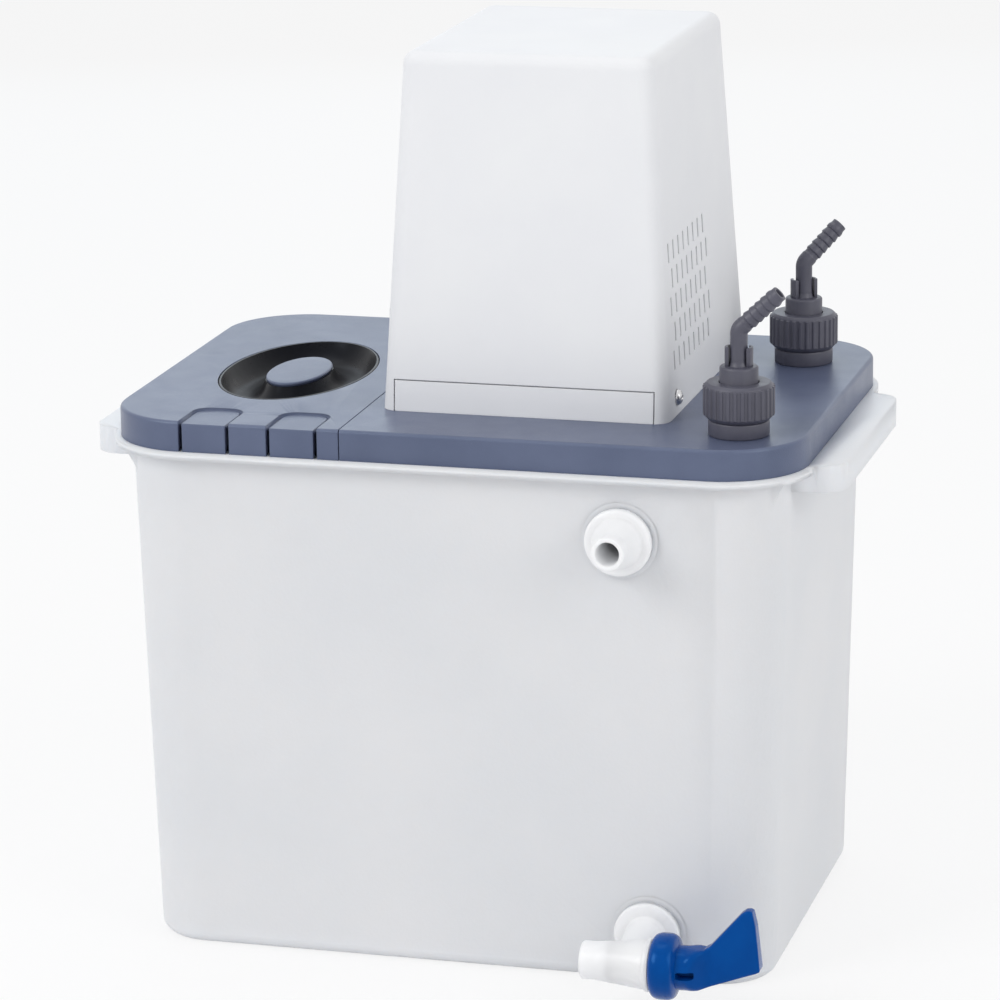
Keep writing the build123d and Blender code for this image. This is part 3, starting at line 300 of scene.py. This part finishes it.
milk = moulded("milky_polyethylene", screen(231, 233, 237), screen(226, 229, 234), 0.42,
               grain=0.0016, depth=0.08, patch=0.09, edge=0)
milk_shader = milk.node_tree.nodes["Principled BSDF"]
milk_shader.inputs["Subsurface Weight"].default_value = 0.4
milk_shader.inputs["Subsurface Radius"].default_value = (0.9, 1.0, 1.1)
milk_shader.inputs["Subsurface Scale"].default_value = 0.010
skin("tank", milk, angle=62.0)

# Lid: two blue-grey plates with a fine sparked grain that takes the light softly. The
# right one carries the motor and the ports, the left one is the filler hatch.
slate = moulded("slate_lid_plastic", screen(93, 101, 127), screen(86, 94, 120), 0.32,
                grain=0.0005, depth=0.35, patch=0.03, edge=0.0006, speck=0.12)
slate_shader = slate.node_tree.nodes["Principled BSDF"]
slate_shader.inputs["Specular Tint"].default_value = (0.75, 0.9, 1.0, 1.0)
skin("top_plate", slate)
skin("fill_hatch", slate)
lid_top = np.array(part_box("fill_hatch"))[1][2]


# Grip dish: a glossy oval bowl let into the hatch, with a boss in its middle that holds a cap in the lid's
# plastic. Fingers go round the boss to lift the hatch. The bowl is coloured near black: partly its own dark
# plastic, partly painted shade of the deep recess.
def ring_faces(rows, columns, closed_rows):
    """Four-sided faces of a grid whose columns meet, and whose rows meet too if closed."""
    row = np.arange(rows if closed_rows else rows - 1)[:, None]
    column = np.arange(columns)[None, :]
    next_row = (row + 1) % rows
    next_column = (column + 1) % columns
    corners = [row * columns + column, row * columns + next_column,
               next_row * columns + next_column, next_row * columns + column]
    corners = [np.broadcast_to(corner, (len(row), columns)) for corner in corners]
    return np.stack(corners, axis=-1).reshape(-1, 4)


def surface(name, points, faces, caps=()):
    """A new object of these corners, four-sided faces and end faces, joined up and turned outwards."""
    mesh = bpy.data.meshes.new(name)
    mesh.from_pydata(points.tolist(), [], faces.tolist() + [list(cap) for cap in caps])
    weld(mesh, mesh, outwards=True)
    smooth(mesh)
    made = bpy.data.objects.new(name, mesh)
    bpy.context.scene.collection.objects.link(made)
    return made


def oval_rings(name, rows, centre, columns=128):
    """Ovals given as (half width, half depth, height), each joined to the next and the last to the
    first. A corner stands off the centre by the half width times the cosine of its angle, and by
    the half depth times its sine."""
    a, b, z = np.array(rows).T
    angle = np.linspace(0, 2 * np.pi, columns, endpoint=False)
    x = centre[0] + a[:, None] * np.cos(angle)
    y = centre[1] + b[:, None] * np.sin(angle)
    points = np.stack([x, y, np.broadcast_to(z[:, None], x.shape)], axis=-1).reshape(-1, 3)
    return surface(name, points, ring_faces(len(a), columns, True))


def prism(name, outline, low, high, edge, origin=(0, 0, 0), across=(1, 0, 0), beside=(0, 1, 0)):
    """An outline of (across, beside) points drawn out between two heights. Near each end every
    corner moves in along its own mitre, by a quarter circle, so both rims are rounded."""
    flat = np.array(outline, dtype=float)
    ahead = np.roll(flat, -1, axis=0) - flat
    ahead = ahead / np.linalg.norm(ahead, axis=1)[:, None]
    outward = np.stack([ahead[:, 1], -ahead[:, 0]], axis=1)
    before = np.roll(outward, 1, axis=0)
    mitre = (outward + before) / (1 + np.sum(outward * before, axis=1))[:, None]
    quarter = np.linspace(0, np.pi / 2, 4)
    inset = edge * (1 - np.sin(np.concatenate([quarter, quarter[::-1]])))
    rise = edge * (1 - np.cos(quarter))
    height = np.concatenate([low + rise, high - rise[::-1]])
    along = np.cross(across, beside)
    rings = flat[None] - inset[:, None, None] * mitre[None]
    points = (np.array(origin) + rings[..., :1] * np.array(across) + rings[..., 1:] * np.array(beside)
              + height[:, None, None] * along)
    count = len(flat)
    last = (len(height) - 1) * count
    return surface(name, points.reshape(-1, 3), ring_faces(len(height), count, False),
                   [range(count), range(last, last + count)])


dish_low, dish_high = np.array(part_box("grip_dish"))
cap_low, cap_high = np.array(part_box("grip_cap"))
dish_centre = (dish_low + dish_high) / 2
dish_half = (dish_high - dish_low)[:2] / 2
cap_half = (cap_high - cap_low)[:2] / 2
dish_depth = 0.0088
dish_thickness = 0.0018
dish_fullness = 2.6
lip_width = 0.0012
lip_edge = 0.0004
boss_drop = 0.0019
boss_play = 0.0002
boss_wall = 0.002
# Near-black bowl colour: the dark plastic's own tone, with painted shade of the deep recess added in.
dark_gloss_with_painted_shade = moulded("dark_plastic_with_painted_shade", screen(17, 16, 21), screen(13, 13, 17), 0.28,
                     grain=0.004, depth=0.03, patch=0.02, edge=0)
dish_shader = dark_gloss_with_painted_shade.node_tree.nodes["Principled BSDF"]
dish_shader.inputs["Specular IOR Level"].default_value = 0.14
dish_shader.inputs["Specular Tint"].default_value = (0.8, 0.88, 1.0, 1.0)
steps_in = np.linspace(0, 1, 25)
sags = 1 - np.abs(2 * steps_in - 1) ** dish_fullness
inner_lip = dish_half - lip_width
bowl_rows = [(*dish_half, lid_top - lip_edge), (*(dish_half - lip_edge), lid_top)]
for step, sag in zip(steps_in, sags):
    half = inner_lip + (cap_half + boss_play - inner_lip) * step
    bowl_rows.append((*half, lid_top - boss_drop * step - dish_depth * sag))
bowl_rows.append((*(cap_half - boss_wall), lid_top - boss_drop))
for step, sag in zip(steps_in[::-3], sags[::-3]):
    half = inner_lip + (cap_half - boss_wall - inner_lip) * step
    bowl_rows.append((*half, lid_top - boss_drop - dish_thickness - (dish_depth - boss_drop) * sag))
settle(oval_rings("grip_dish_bowl", bowl_rows, dish_centre), dark_gloss_with_painted_shade, "grip_dish")

cap_foot_inset = 0.0006
cap_edge = 0.0010
cap_crown = 0.0003
cap_rows = [(0.0, 0.0, cap_low[2]), (*(cap_half - cap_foot_inset), cap_low[2])]
for quarter in np.linspace(0, np.pi / 2, 6):
    inset = cap_edge * (1 - math.cos(quarter))
    cap_rows.append((*(cap_half - inset), lid_top - cap_edge * (1 - math.sin(quarter))))
for share in (0.7, 0.4, 0.15, 0.0):
    cap_rows.append((*(cap_half * share), lid_top + cap_crown * (1 - share)))
settle(oval_rings("grip_cap_button", cap_rows, dish_centre), slate, "grip_cap")

# Motor cover and tray: smooth white mouldings with a low gloss, screwed together at the
# sides. The tray's front wall shows as a strip under the cover's.
white = moulded("white_cover_plastic", screen(236, 237, 239), screen(233, 234, 237), 0.42,
                grain=0.0009, depth=0.05, patch=0.06, edge=0.0006)
white_shader = white.node_tree.nodes["Principled BSDF"]
white_shader.inputs["Specular IOR Level"].default_value = 0.06
skin("motor_cover", white, angle=25.0)
skin("base_tray", white, angle=25.0)


# Cover screws: plated steel, two low on each side, which hold the cover to the tray's lugs.
# Their domed heads stand proud of the wall and have a cross recess.
def metal(name, colour, rough, brush=0.0):
    """Bare metal with fine scratches in its gloss and in relief. Where brush is set, they are
    squeezed along the height and so run round the piece."""
    squeeze = 20.0
    scratches_per_metre = 900.0
    scratch_depth = 0.0002
    glossier = 0.7
    duller = 1.4
    finish = bpy.data.materials.new(name)
    finish.use_nodes = True
    tree = finish.node_tree
    shader = tree.nodes["Principled BSDF"]
    shader.inputs["Metallic"].default_value = 1.0
    shader.inputs["Base Color"].default_value = colour
    place = tree.nodes.new("ShaderNodeTexCoord")
    stretch = tree.nodes.new("ShaderNodeMapping")
    stretch.inputs["Scale"].default_value = (1.0, 1.0, 1.0 + squeeze * brush)
    scratches = tree.nodes.new("ShaderNodeTexNoise")
    scratches.inputs["Scale"].default_value = scratches_per_metre
    wear = tree.nodes.new("ShaderNodeMapRange")
    wear.inputs["To Min"].default_value = rough * glossier
    wear.inputs["To Max"].default_value = rough * duller
    relief = tree.nodes.new("ShaderNodeBump")
    relief.inputs["Strength"].default_value = 0.12
    relief.inputs["Distance"].default_value = scratch_depth
    tree.links.new(place.outputs["Object"], stretch.inputs["Vector"])
    tree.links.new(stretch.outputs["Vector"], scratches.inputs["Vector"])
    tree.links.new(scratches.outputs["Fac"], wear.inputs["Value"])
    tree.links.new(wear.outputs["Result"], shader.inputs["Roughness"])
    tree.links.new(scratches.outputs["Fac"], relief.inputs["Height"])
    tree.links.new(relief.outputs["Normal"], shader.inputs["Normal"])
    return finish


plated = metal("plated_screw_steel", (0.62, 0.62, 0.63, 1.0), 0.28)
skin("cover_screws", plated)

# Power switch and gland: a rocker switch of black nylon in the cover's left wall, and a
# black rubber gland for the mains lead in the tray's back wall.
black_nylon = moulded("black_nylon", screen(34, 34, 37), screen(28, 28, 31), 0.42,
                      grain=0.0004, depth=0.25, patch=0.01, edge=0.0003)
black_rubber = moulded("black_rubber", screen(30, 30, 31), screen(38, 38, 39), 0.7,
                       grain=0.0005, depth=0.2, patch=0.008, edge=0.0003)
skin("switch_body", black_nylon)
skin("power_rocker", black_nylon)
skin("cord_gland", black_rubber)


# Port necks and union nuts: dark grey polypropylene, turned shapes with soft edges. The
# nuts have thirty fine upright ribs for the fingers.
def soften(points, radius, steps=4):
    """A closed outline with each corner off the axis cut by a small curve, as a mould leaves it. The
    curve starts and ends at the radius from the corner, or at a share of a short edge."""
    edge_share = 0.45
    on_axis = 1e-7
    outline = np.array(points, dtype=float)
    before = np.roll(outline, 1, axis=0)
    after = np.roll(outline, -1, axis=0)
    rounded = []
    for corner, last, following in zip(outline, before, after):
        if corner[0] < on_axis:
            rounded.append(corner)
            continue
        back = last - corner
        ahead = following - corner
        reach = min(radius, edge_share * np.linalg.norm(back), edge_share * np.linalg.norm(ahead))
        start = corner + back / np.linalg.norm(back) * reach
        end = corner + ahead / np.linalg.norm(ahead) * reach
        for step in np.linspace(0, 1, steps):
            rounded.append((1 - step) ** 2 * start + 2 * step * (1 - step) * corner + step ** 2 * end)
    return np.array(rounded)


def turned(name, points, origin, axis, edge=0.0004, columns=96, ribs=0, rib_height=0.0, rib_span=(0, 0)):
    """A closed outline of (radius, height) points turned about an axis. Within the rib span its
    outer radius swells by the rib height times a cosine with flattened tops and hollows."""
    flatness = 3
    outer_skin = 0.0002
    outline = soften(points, edge)
    radius, height = outline.T
    along = np.array(axis, dtype=float)
    along = along / np.linalg.norm(along)
    first = np.cross(along, (0.0, 1.0, 0.0) if abs(along[1]) < 0.9 else (1.0, 0.0, 0.0))
    first = first / np.linalg.norm(first)
    second = np.cross(along, first)
    angle = np.linspace(0, 2 * np.pi, columns, endpoint=False)
    spread = np.broadcast_to(radius[:, None], (len(radius), columns)).copy()
    if ribs:
        outer = radius > radius.max() - outer_skin
        inside = (height > rib_span[0]) & (height < rib_span[1]) & outer
        wave = 0.5 + 0.5 * np.tanh(flatness * np.cos(ribs * angle)) / np.tanh(flatness)
        spread[inside] += rib_height * wave
    points_3d = (np.array(origin) + height[:, None, None] * along
                 + spread[..., None] * (np.cos(angle)[:, None] * first + np.sin(angle)[:, None] * second))
    return surface(name, points_3d.reshape(-1, 3), ring_faces(len(radius), columns, True))


port_grey = moulded("dark_port_plastic", screen(82, 82, 95), screen(74, 74, 87), 0.4,
                    grain=0.0006, depth=0.12, patch=0.012, edge=0.0003)
neck_bore = 0.0036
neck_spigot = 0.009
flange_height = 0.0068
thread_inset = 0.0022
thread_start = 0.0072
nut_bore = 0.0115
nut_mouth = 0.0088
nut_roof = 0.0029
nut_foot_slope = 0.0016
nut_top_slope = 0.0012
nut_ribs = 30
rib_height = 0.0007
rib_foot = 0.0020
rib_head = 0.0016
rib_run_in = 0.0004
for end in ("front", "rear"):
    neck_low, neck_high = np.array(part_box(f"port_neck_{end}"))
    neck_centre = (neck_low + neck_high) / 2
    neck_flange = (neck_high - neck_low)[0] / 2
    thread = neck_flange - thread_inset
    settle(
        turned(
            f"port_neck_{end}_turned",
            [(neck_bore, neck_low[2]), (neck_spigot, neck_low[2]), (neck_spigot, lid_top),
             (neck_flange, lid_top), (neck_flange, lid_top + flange_height), (thread, lid_top + thread_start),
             (thread, neck_high[2]), (neck_bore, neck_high[2])],
            (neck_centre[0], neck_centre[1], 0),
            (0, 0, 1),
            edge=0.0007,
        ),
        port_grey,
        f"port_neck_{end}",
    )
    nut_low, nut_high = np.array(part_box(f"union_nut_{end}"))
    nut_centre = (nut_low + nut_high) / 2
    nut_radius = (nut_high - nut_low)[0] / 2 - rib_height
    bottom = nut_low[2]
    top = nut_high[2]
    rib_heights = np.linspace(bottom + rib_foot + rib_run_in, top - rib_head - rib_run_in, 6)
    settle(
        turned(
            f"union_nut_{end}_turned",
            [(nut_bore, bottom), (nut_radius - nut_foot_slope, bottom), (nut_radius, bottom + nut_foot_slope),
             *[(nut_radius, height) for height in rib_heights], (nut_radius, top - nut_top_slope),
             (nut_radius - nut_top_slope, top), (nut_mouth, top), (nut_mouth, top - nut_roof),
             (nut_bore, top - nut_roof)],
            (nut_centre[0], nut_centre[1], 0),
            (0, 0, 1),
            edge=0.0003,
            columns=nut_ribs * 10,
            ribs=nut_ribs,
            rib_height=rib_height,
            rib_span=(bottom + rib_foot, top - rib_head),
        ),
        port_grey,
        f"union_nut_{end}",
    )
    skin(f"port_seal_{end}", black_rubber)


# Hose elbows: dark grey polypropylene, with a collar that turns in the nut, a stem bent by 47
# degrees, two tongues and a barb of five rings. One outline is carried along the bent centre
# line and back through the bore.
bend_above_lid = 0.0465
bend_tilt = math.radians(47.0)
bend_radius = 0.0041
bend_rows = 8
barb_reach = 0.0245
headings = {"front": math.radians(0.0), "rear": math.radians(35.0)}
elbow_flange = 0.0109
elbow_flange_thickness = 0.0015
elbow_collar = 0.0085
collar_above_lid = 0.0305
collar_edge = 0.0006
stem_foot = 0.0044
stem_foot_height = 0.002
stem = 0.0038
stem_end = 0.0022
stem_bore = 0.0022
ring_core = 0.0035
core_start = 0.0015
ring_crest = 0.004
ring_ramp = 0.0003
ring_land = 0.0006
tip_land = 0.0015
ring_pitch = 0.0034
ring_count = 5
elbow_edge = 0.00025
elbow_columns = 64
tongue_inner = 0.0049
tongue_outer = 0.0062
tongue_half_width = 0.003
tongue_height = 0.0085
tongue_sink = 0.0004
tongue_edge = 0.0003
tongue_points = 12


def bent_line(distance, corner, sweep, radius):
    """Where an upright line lies that runs to a corner, turns there by the sweep on an arc of the
    radius and runs on: its rise and its reach to the side at each distance along it, and the
    upward and sideways shares of its direction."""
    lead = corner - radius * math.tan(sweep / 2)
    turned_by = np.clip((distance - lead) / radius, 0, sweep)
    beyond = np.maximum(distance - lead - radius * sweep, 0)
    before = np.minimum(distance, lead)
    rise = before + radius * np.sin(turned_by) + beyond * math.cos(sweep)
    reach = radius * (1 - np.cos(turned_by)) + beyond * math.sin(sweep)
    return rise, reach, np.cos(turned_by), np.sin(turned_by)


for end in ("front", "rear"):
    elbow_low = np.array(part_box(f"hose_elbow_{end}"))[0]
    neck_low, neck_high = np.array(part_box(f"port_neck_{end}"))
    neck_centre = (neck_low + neck_high) / 2
    corner = lid_top + bend_above_lid - elbow_low[2]
    total = corner + barb_reach - 2 * bend_radius * math.tan(bend_tilt / 2) + bend_radius * bend_tilt
    collar_top = lid_top + collar_above_lid - elbow_low[2]
    arc_start = corner - bend_radius * math.tan(bend_tilt / 2)
    arc_end = arc_start + bend_radius * bend_tilt
    outline = [(elbow_flange, 0.0), (elbow_flange, elbow_flange_thickness),
               (elbow_collar, elbow_flange_thickness), (elbow_collar, collar_top - collar_edge),
               (elbow_collar - collar_edge, collar_top), (stem_foot, collar_top),
               (stem, collar_top + stem_foot_height)]
    outline += [(stem, place) for place in np.linspace(arc_start, arc_end, bend_rows)]
    ring_start = total - ring_pitch * ring_count - tip_land
    outline += [(stem, ring_start - stem_end), (ring_core, ring_start - core_start)]
    for ring in range(ring_count):
        begin = ring_start + ring * ring_pitch
        land = tip_land if ring == ring_count - 1 else ring_land
        outline += [(ring_core, begin), (ring_crest, begin + ring_ramp),
                    (ring_crest, begin + ring_ramp + land), (ring_core, begin + ring_pitch - ring_ramp)]
    outline += [(ring_core, total), (stem_bore, total)]
    outline += [(stem_bore, place) for place in np.linspace(arc_end, arc_start, bend_rows)]
    outline += [(stem_bore, 0.0)]
    radius, distance = soften(outline, elbow_edge, steps=3).T
    rise, aside, steep, flat = bent_line(distance, corner, bend_tilt, bend_radius)
    heading = np.array([math.cos(headings[end]), math.sin(headings[end]), 0.0])
    sideways = np.array([-math.sin(headings[end]), math.cos(headings[end]), 0.0])
    upward = np.array([0.0, 0.0, 1.0])
    line = (np.array([neck_centre[0], neck_centre[1], elbow_low[2]])
            + rise[:, None] * upward + aside[:, None] * heading)
    normal = steep[:, None] * heading - flat[:, None] * upward
    angle = np.linspace(0, 2 * np.pi, elbow_columns, endpoint=False)
    points = (line[:, None, :] + radius[:, None, None]
              * (np.cos(angle)[None, :, None] * normal[:, None, :] + np.sin(angle)[None, :, None] * sideways))
    elbow = surface(f"hose_elbow_{end}_bent", points.reshape(-1, 3),
                    ring_faces(len(radius), elbow_columns, True))
    settle(elbow, port_grey, f"hose_elbow_{end}")
    outer_spread = math.asin(tongue_half_width / tongue_outer)
    inner_spread = math.asin(tongue_half_width / tongue_inner)
    for side in (0, math.pi):
        outer_arc = side + np.linspace(-outer_spread, outer_spread, tongue_points)
        inner_arc = side + np.linspace(inner_spread, -inner_spread, tongue_points)
        tongue_outline = np.concatenate([
            tongue_outer * np.stack([np.cos(outer_arc), np.sin(outer_arc)], axis=1),
            tongue_inner * np.stack([np.cos(inner_arc), np.sin(inner_arc)], axis=1),
        ])
        tongue = prism(f"hose_elbow_{end}_tongue_{int(side)}", tongue_outline, -tongue_sink, tongue_height,
                       tongue_edge, (neck_centre[0], neck_centre[1], elbow_low[2] + collar_top),
                       heading, sideways)
        settle(tongue, port_grey, f"hose_elbow_{end}")

# Overflow nozzle: white polypropylene, a round flange on the tank wall, a conical hub and
# a plain nozzle. A black gasket shows as a thin line behind the flange.
fitting_white = moulded("white_polypropylene", screen(248, 249, 251), screen(245, 246, 249), 0.3,
                        grain=0.0012, depth=0.06, patch=0.02, edge=0.0004)
fitting_shader = fitting_white.node_tree.nodes["Principled BSDF"]
fitting_shader.inputs["Subsurface Weight"].default_value = 0.6
fitting_shader.inputs["Subsurface Radius"].default_value = (1.0, 1.0, 1.0)
fitting_shader.inputs["Subsurface Scale"].default_value = 0.006
fitting_low, fitting_high = np.array(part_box("overflow_fitting"))
gasket_low = np.array(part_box("overflow_gasket"))[0]
fitting_centre = (fitting_low + fitting_high) / 2
flange = (fitting_high - fitting_low)[0] / 2
face = -gasket_low[1]
nozzle_tip = -fitting_low[1]
root = -fitting_high[1]
nozzle = 0.0073
nozzle_bore = 0.0053
barrel = 0.0087
flange_front = 0.0035
flange_shoulder = 0.0026
flange_slope = 0.0012
hub = 0.0108
hub_foot = 0.0006
hub_start = 0.0045
hub_end = 0.0125
hub_step = 0.0003
nozzle_start = 0.0135
settle(
    turned(
        "overflow_nozzle_turned",
        [(nozzle_bore, root), (barrel, root), (barrel, face), (flange, face),
         (flange, face + flange_shoulder), (flange - flange_slope, face + flange_front),
         (hub + hub_foot, face + flange_front), (hub, face + hub_start),
         (nozzle + hub_step, face + hub_end), (nozzle, face + nozzle_start), (nozzle, nozzle_tip),
         (nozzle_bore, nozzle_tip)],
        (fitting_centre[0], 0, fitting_centre[2]),
        (0, -1, 0),
        edge=0.0006,
    ),
    fitting_white,
    "overflow_fitting",
)
skin("overflow_gasket", black_rubber)
skin("drain_gasket", black_rubber)

# Drain cock: a white body on a round flange, its outlet to the left, with a shiny blue
# plug whose collar, neck and fish-tail lever stand to the right. A notch is cut into the
# lever's front beside the collar.
skin("drain_body", fitting_white)
shiny_blue = moulded("shiny_blue_plastic", screen(0, 69, 147), screen(0, 64, 140), 0.17,
                     grain=0.002, depth=0.05, patch=0.015, edge=0)
blue_shader = shiny_blue.node_tree.nodes["Principled BSDF"]
blue_shader.inputs["Specular IOR Level"].default_value = 0.35
blue_shader.inputs["Specular Tint"].default_value = (0.15, 0.5, 1.0, 1.0)
plug_low, plug_high = np.array(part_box("drain_plug"))
plug_collar = 0.0147
collar_length = 0.0116
collar_round = 0.0036
collar_foot_inset = 0.0022
collar_side_inset = 0.0006
collar_side_rise = 0.0014
collar_face_inset = 0.0011
collar_face_drop = 0.0012
plug_barrel = 0.00795
barrel_length = 0.0196
plug_neck = 0.0099
neck_overlap = 0.0002
blade_half = 0.00325
blade_rise = 0.0294
blade_reach = 0.0364
flat_start = 0.0035
flat_length = 0.0115
square_corners = 5
top_edge = [(0, plug_neck), (0.0115, plug_neck), (0.0142, 0.0117), (0.0279, 0.0276), (0.0298, 0.0291),
            (0.0318, blade_rise), (0.0331, 0.0288), (0.0345, 0.0225), (0.0356, 0.012),
            (blade_reach, 0.0036)]
bottom_edge = [(0, -plug_neck), (0.0045, -0.0097), (0.0095, -0.0087), (0.0345, 0.0006),
               (0.0360, 0.0015), (blade_reach, 0.0024)]
spout = (plug_low + plug_high) / 2
spout[2] = plug_low[2] + plug_collar
collar_end = plug_high[0] - blade_reach
settle(
    turned(
        "drain_plug_collar",
        [(0, -barrel_length), (plug_barrel, -barrel_length), (plug_barrel, 0),
         (plug_collar - collar_foot_inset, 0), (plug_collar - collar_side_inset, collar_side_rise),
         (plug_collar, collar_round), (plug_collar, collar_length - collar_round),
         (plug_collar - collar_face_inset, collar_length - collar_face_drop),
         (plug_neck, collar_length + neck_overlap), (0, collar_length + neck_overlap)],
        (collar_end - collar_length, spout[1], spout[2]),
        (1, 0, 0),
        edge=0.0009,
    ),
    shiny_blue,
    "drain_plug",
)


def blade_section(reach):
    """Top and bottom edge, half thickness and squareness of the lever at each reach from the
    collar: its edges run straight between the corners of its side view, and the round neck
    turns thin and square over a smooth step."""
    top = np.interp(reach, *np.array(top_edge).T)
    bottom = np.interp(reach, *np.array(bottom_edge).T)
    flattened = np.clip((reach - flat_start) / flat_length, 0, 1)
    flattened = flattened * flattened * (3 - 2 * flattened)
    half = plug_neck + (blade_half - plug_neck) * flattened
    return top, bottom, half, 2 + square_corners * flattened


def carve(piece, space):
    """The piece with a closed form's space cut out of its mesh, and the form gone."""
    cut = piece.modifiers.new("cut", "BOOLEAN")
    cut.object = space
    cut.solver = "EXACT"
    graph = bpy.context.evaluated_depsgraph_get()
    carved = bpy.data.meshes.new_from_object(piece.evaluated_get(graph))
    piece.modifiers.clear()
    piece.data = carved
    bpy.data.objects.remove(space)
    smooth(carved)
    return piece


reaches = np.concatenate([np.linspace(0, 0.0335, 68), np.linspace(0.0337, blade_reach, 24)])
top, bottom, half, square = blade_section(reaches)
round_way = np.linspace(0, 2 * np.pi, 144, endpoint=False)
power = (2 / square)[:, None]
wide = np.sign(np.cos(round_way)) * np.abs(np.cos(round_way)) ** power
tall = np.sign(np.sin(round_way)) * np.abs(np.sin(round_way)) ** power
blade_points = np.stack([
    np.broadcast_to((collar_end + reaches)[:, None], wide.shape),
    spout[1] + half[:, None] * wide,
    spout[2] + ((top + bottom) / 2)[:, None] + ((top - bottom) / 2)[:, None] * tall,
], axis=-1).reshape(-1, 3)
last = (len(reaches) - 1) * len(round_way)
blade = surface("drain_plug_lever", blade_points, ring_faces(len(reaches), len(round_way), False),
                [range(len(round_way)), range(last, last + len(round_way))])

notch_centre = (0.0043, -0.0006)
notch_half = (0.0039, 0.0018)
notch_corner = 0.4
notch_floor = 0.0034
notch_mouth = 0.014
notch_edge = 0.0002
corner_way = np.linspace(0, 2 * np.pi, 32, endpoint=False)
notch_outline = np.stack([
    notch_half[0] * np.sign(np.cos(corner_way)) * np.abs(np.cos(corner_way)) ** notch_corner,
    notch_half[1] * np.sign(np.sin(corner_way)) * np.abs(np.sin(corner_way)) ** notch_corner,
], axis=1)
notch_place = (collar_end + notch_centre[0], spout[1], spout[2] + notch_centre[1])
notch_space = prism("notch_space", notch_outline, notch_floor, notch_mouth, notch_edge, notch_place,
                    across=(1, 0, 0), beside=(0, 0, 1))
settle(carve(blade, notch_space), shiny_blue, "drain_plug")

# Check-valve springs: fine steel wire coiled round each poppet's stem. Each stands on the foot of its neck
# and gets a mesh of its own.
steel = metal("turned_steel", (0.5, 0.5, 0.52, 1.0), 0.3, brush=1.0)
for end in ("front", "rear"):
    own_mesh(skin(f"check_spring_{end}", steel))

# Inner pieces: the motor, the pump, the ejectors, the valves, their seals and the nuts behind
# the tank's wall, in bare metals, moulded plastics and rubber. They show only when the hatch
# or the pump unit is lifted off.
laminated = metal("stacked_sheet_steel", (0.2, 0.2, 0.22, 1.0), 0.5, brush=1.0)
alloy = metal("cast_alloy", (0.62, 0.63, 0.65, 1.0), 0.45)
copper = metal("varnished_copper", (0.55, 0.2, 0.08, 1.0), 0.35, brush=1.0)
bronze = metal("sintered_bronze", (0.5, 0.33, 0.14, 1.0), 0.5)
inner_finishes = {
    "port_plastic": port_grey,
    "white_plastic": fitting_white,
    "black_plastic": black_nylon,
    "black_rubber": black_rubber,
    "screw_steel": plated,
    "machined_steel": steel,
    "laminated_steel": laminated,
    "cast_alloy": alloy,
    "winding_copper": copper,
    "bush_bronze": bronze,
}
for node, slot_name in slot_of_node.items():
    if slot_name in inner_finishes and not frame["nodes"][node].hide_render:
        skin(node, inner_finishes[slot_name])
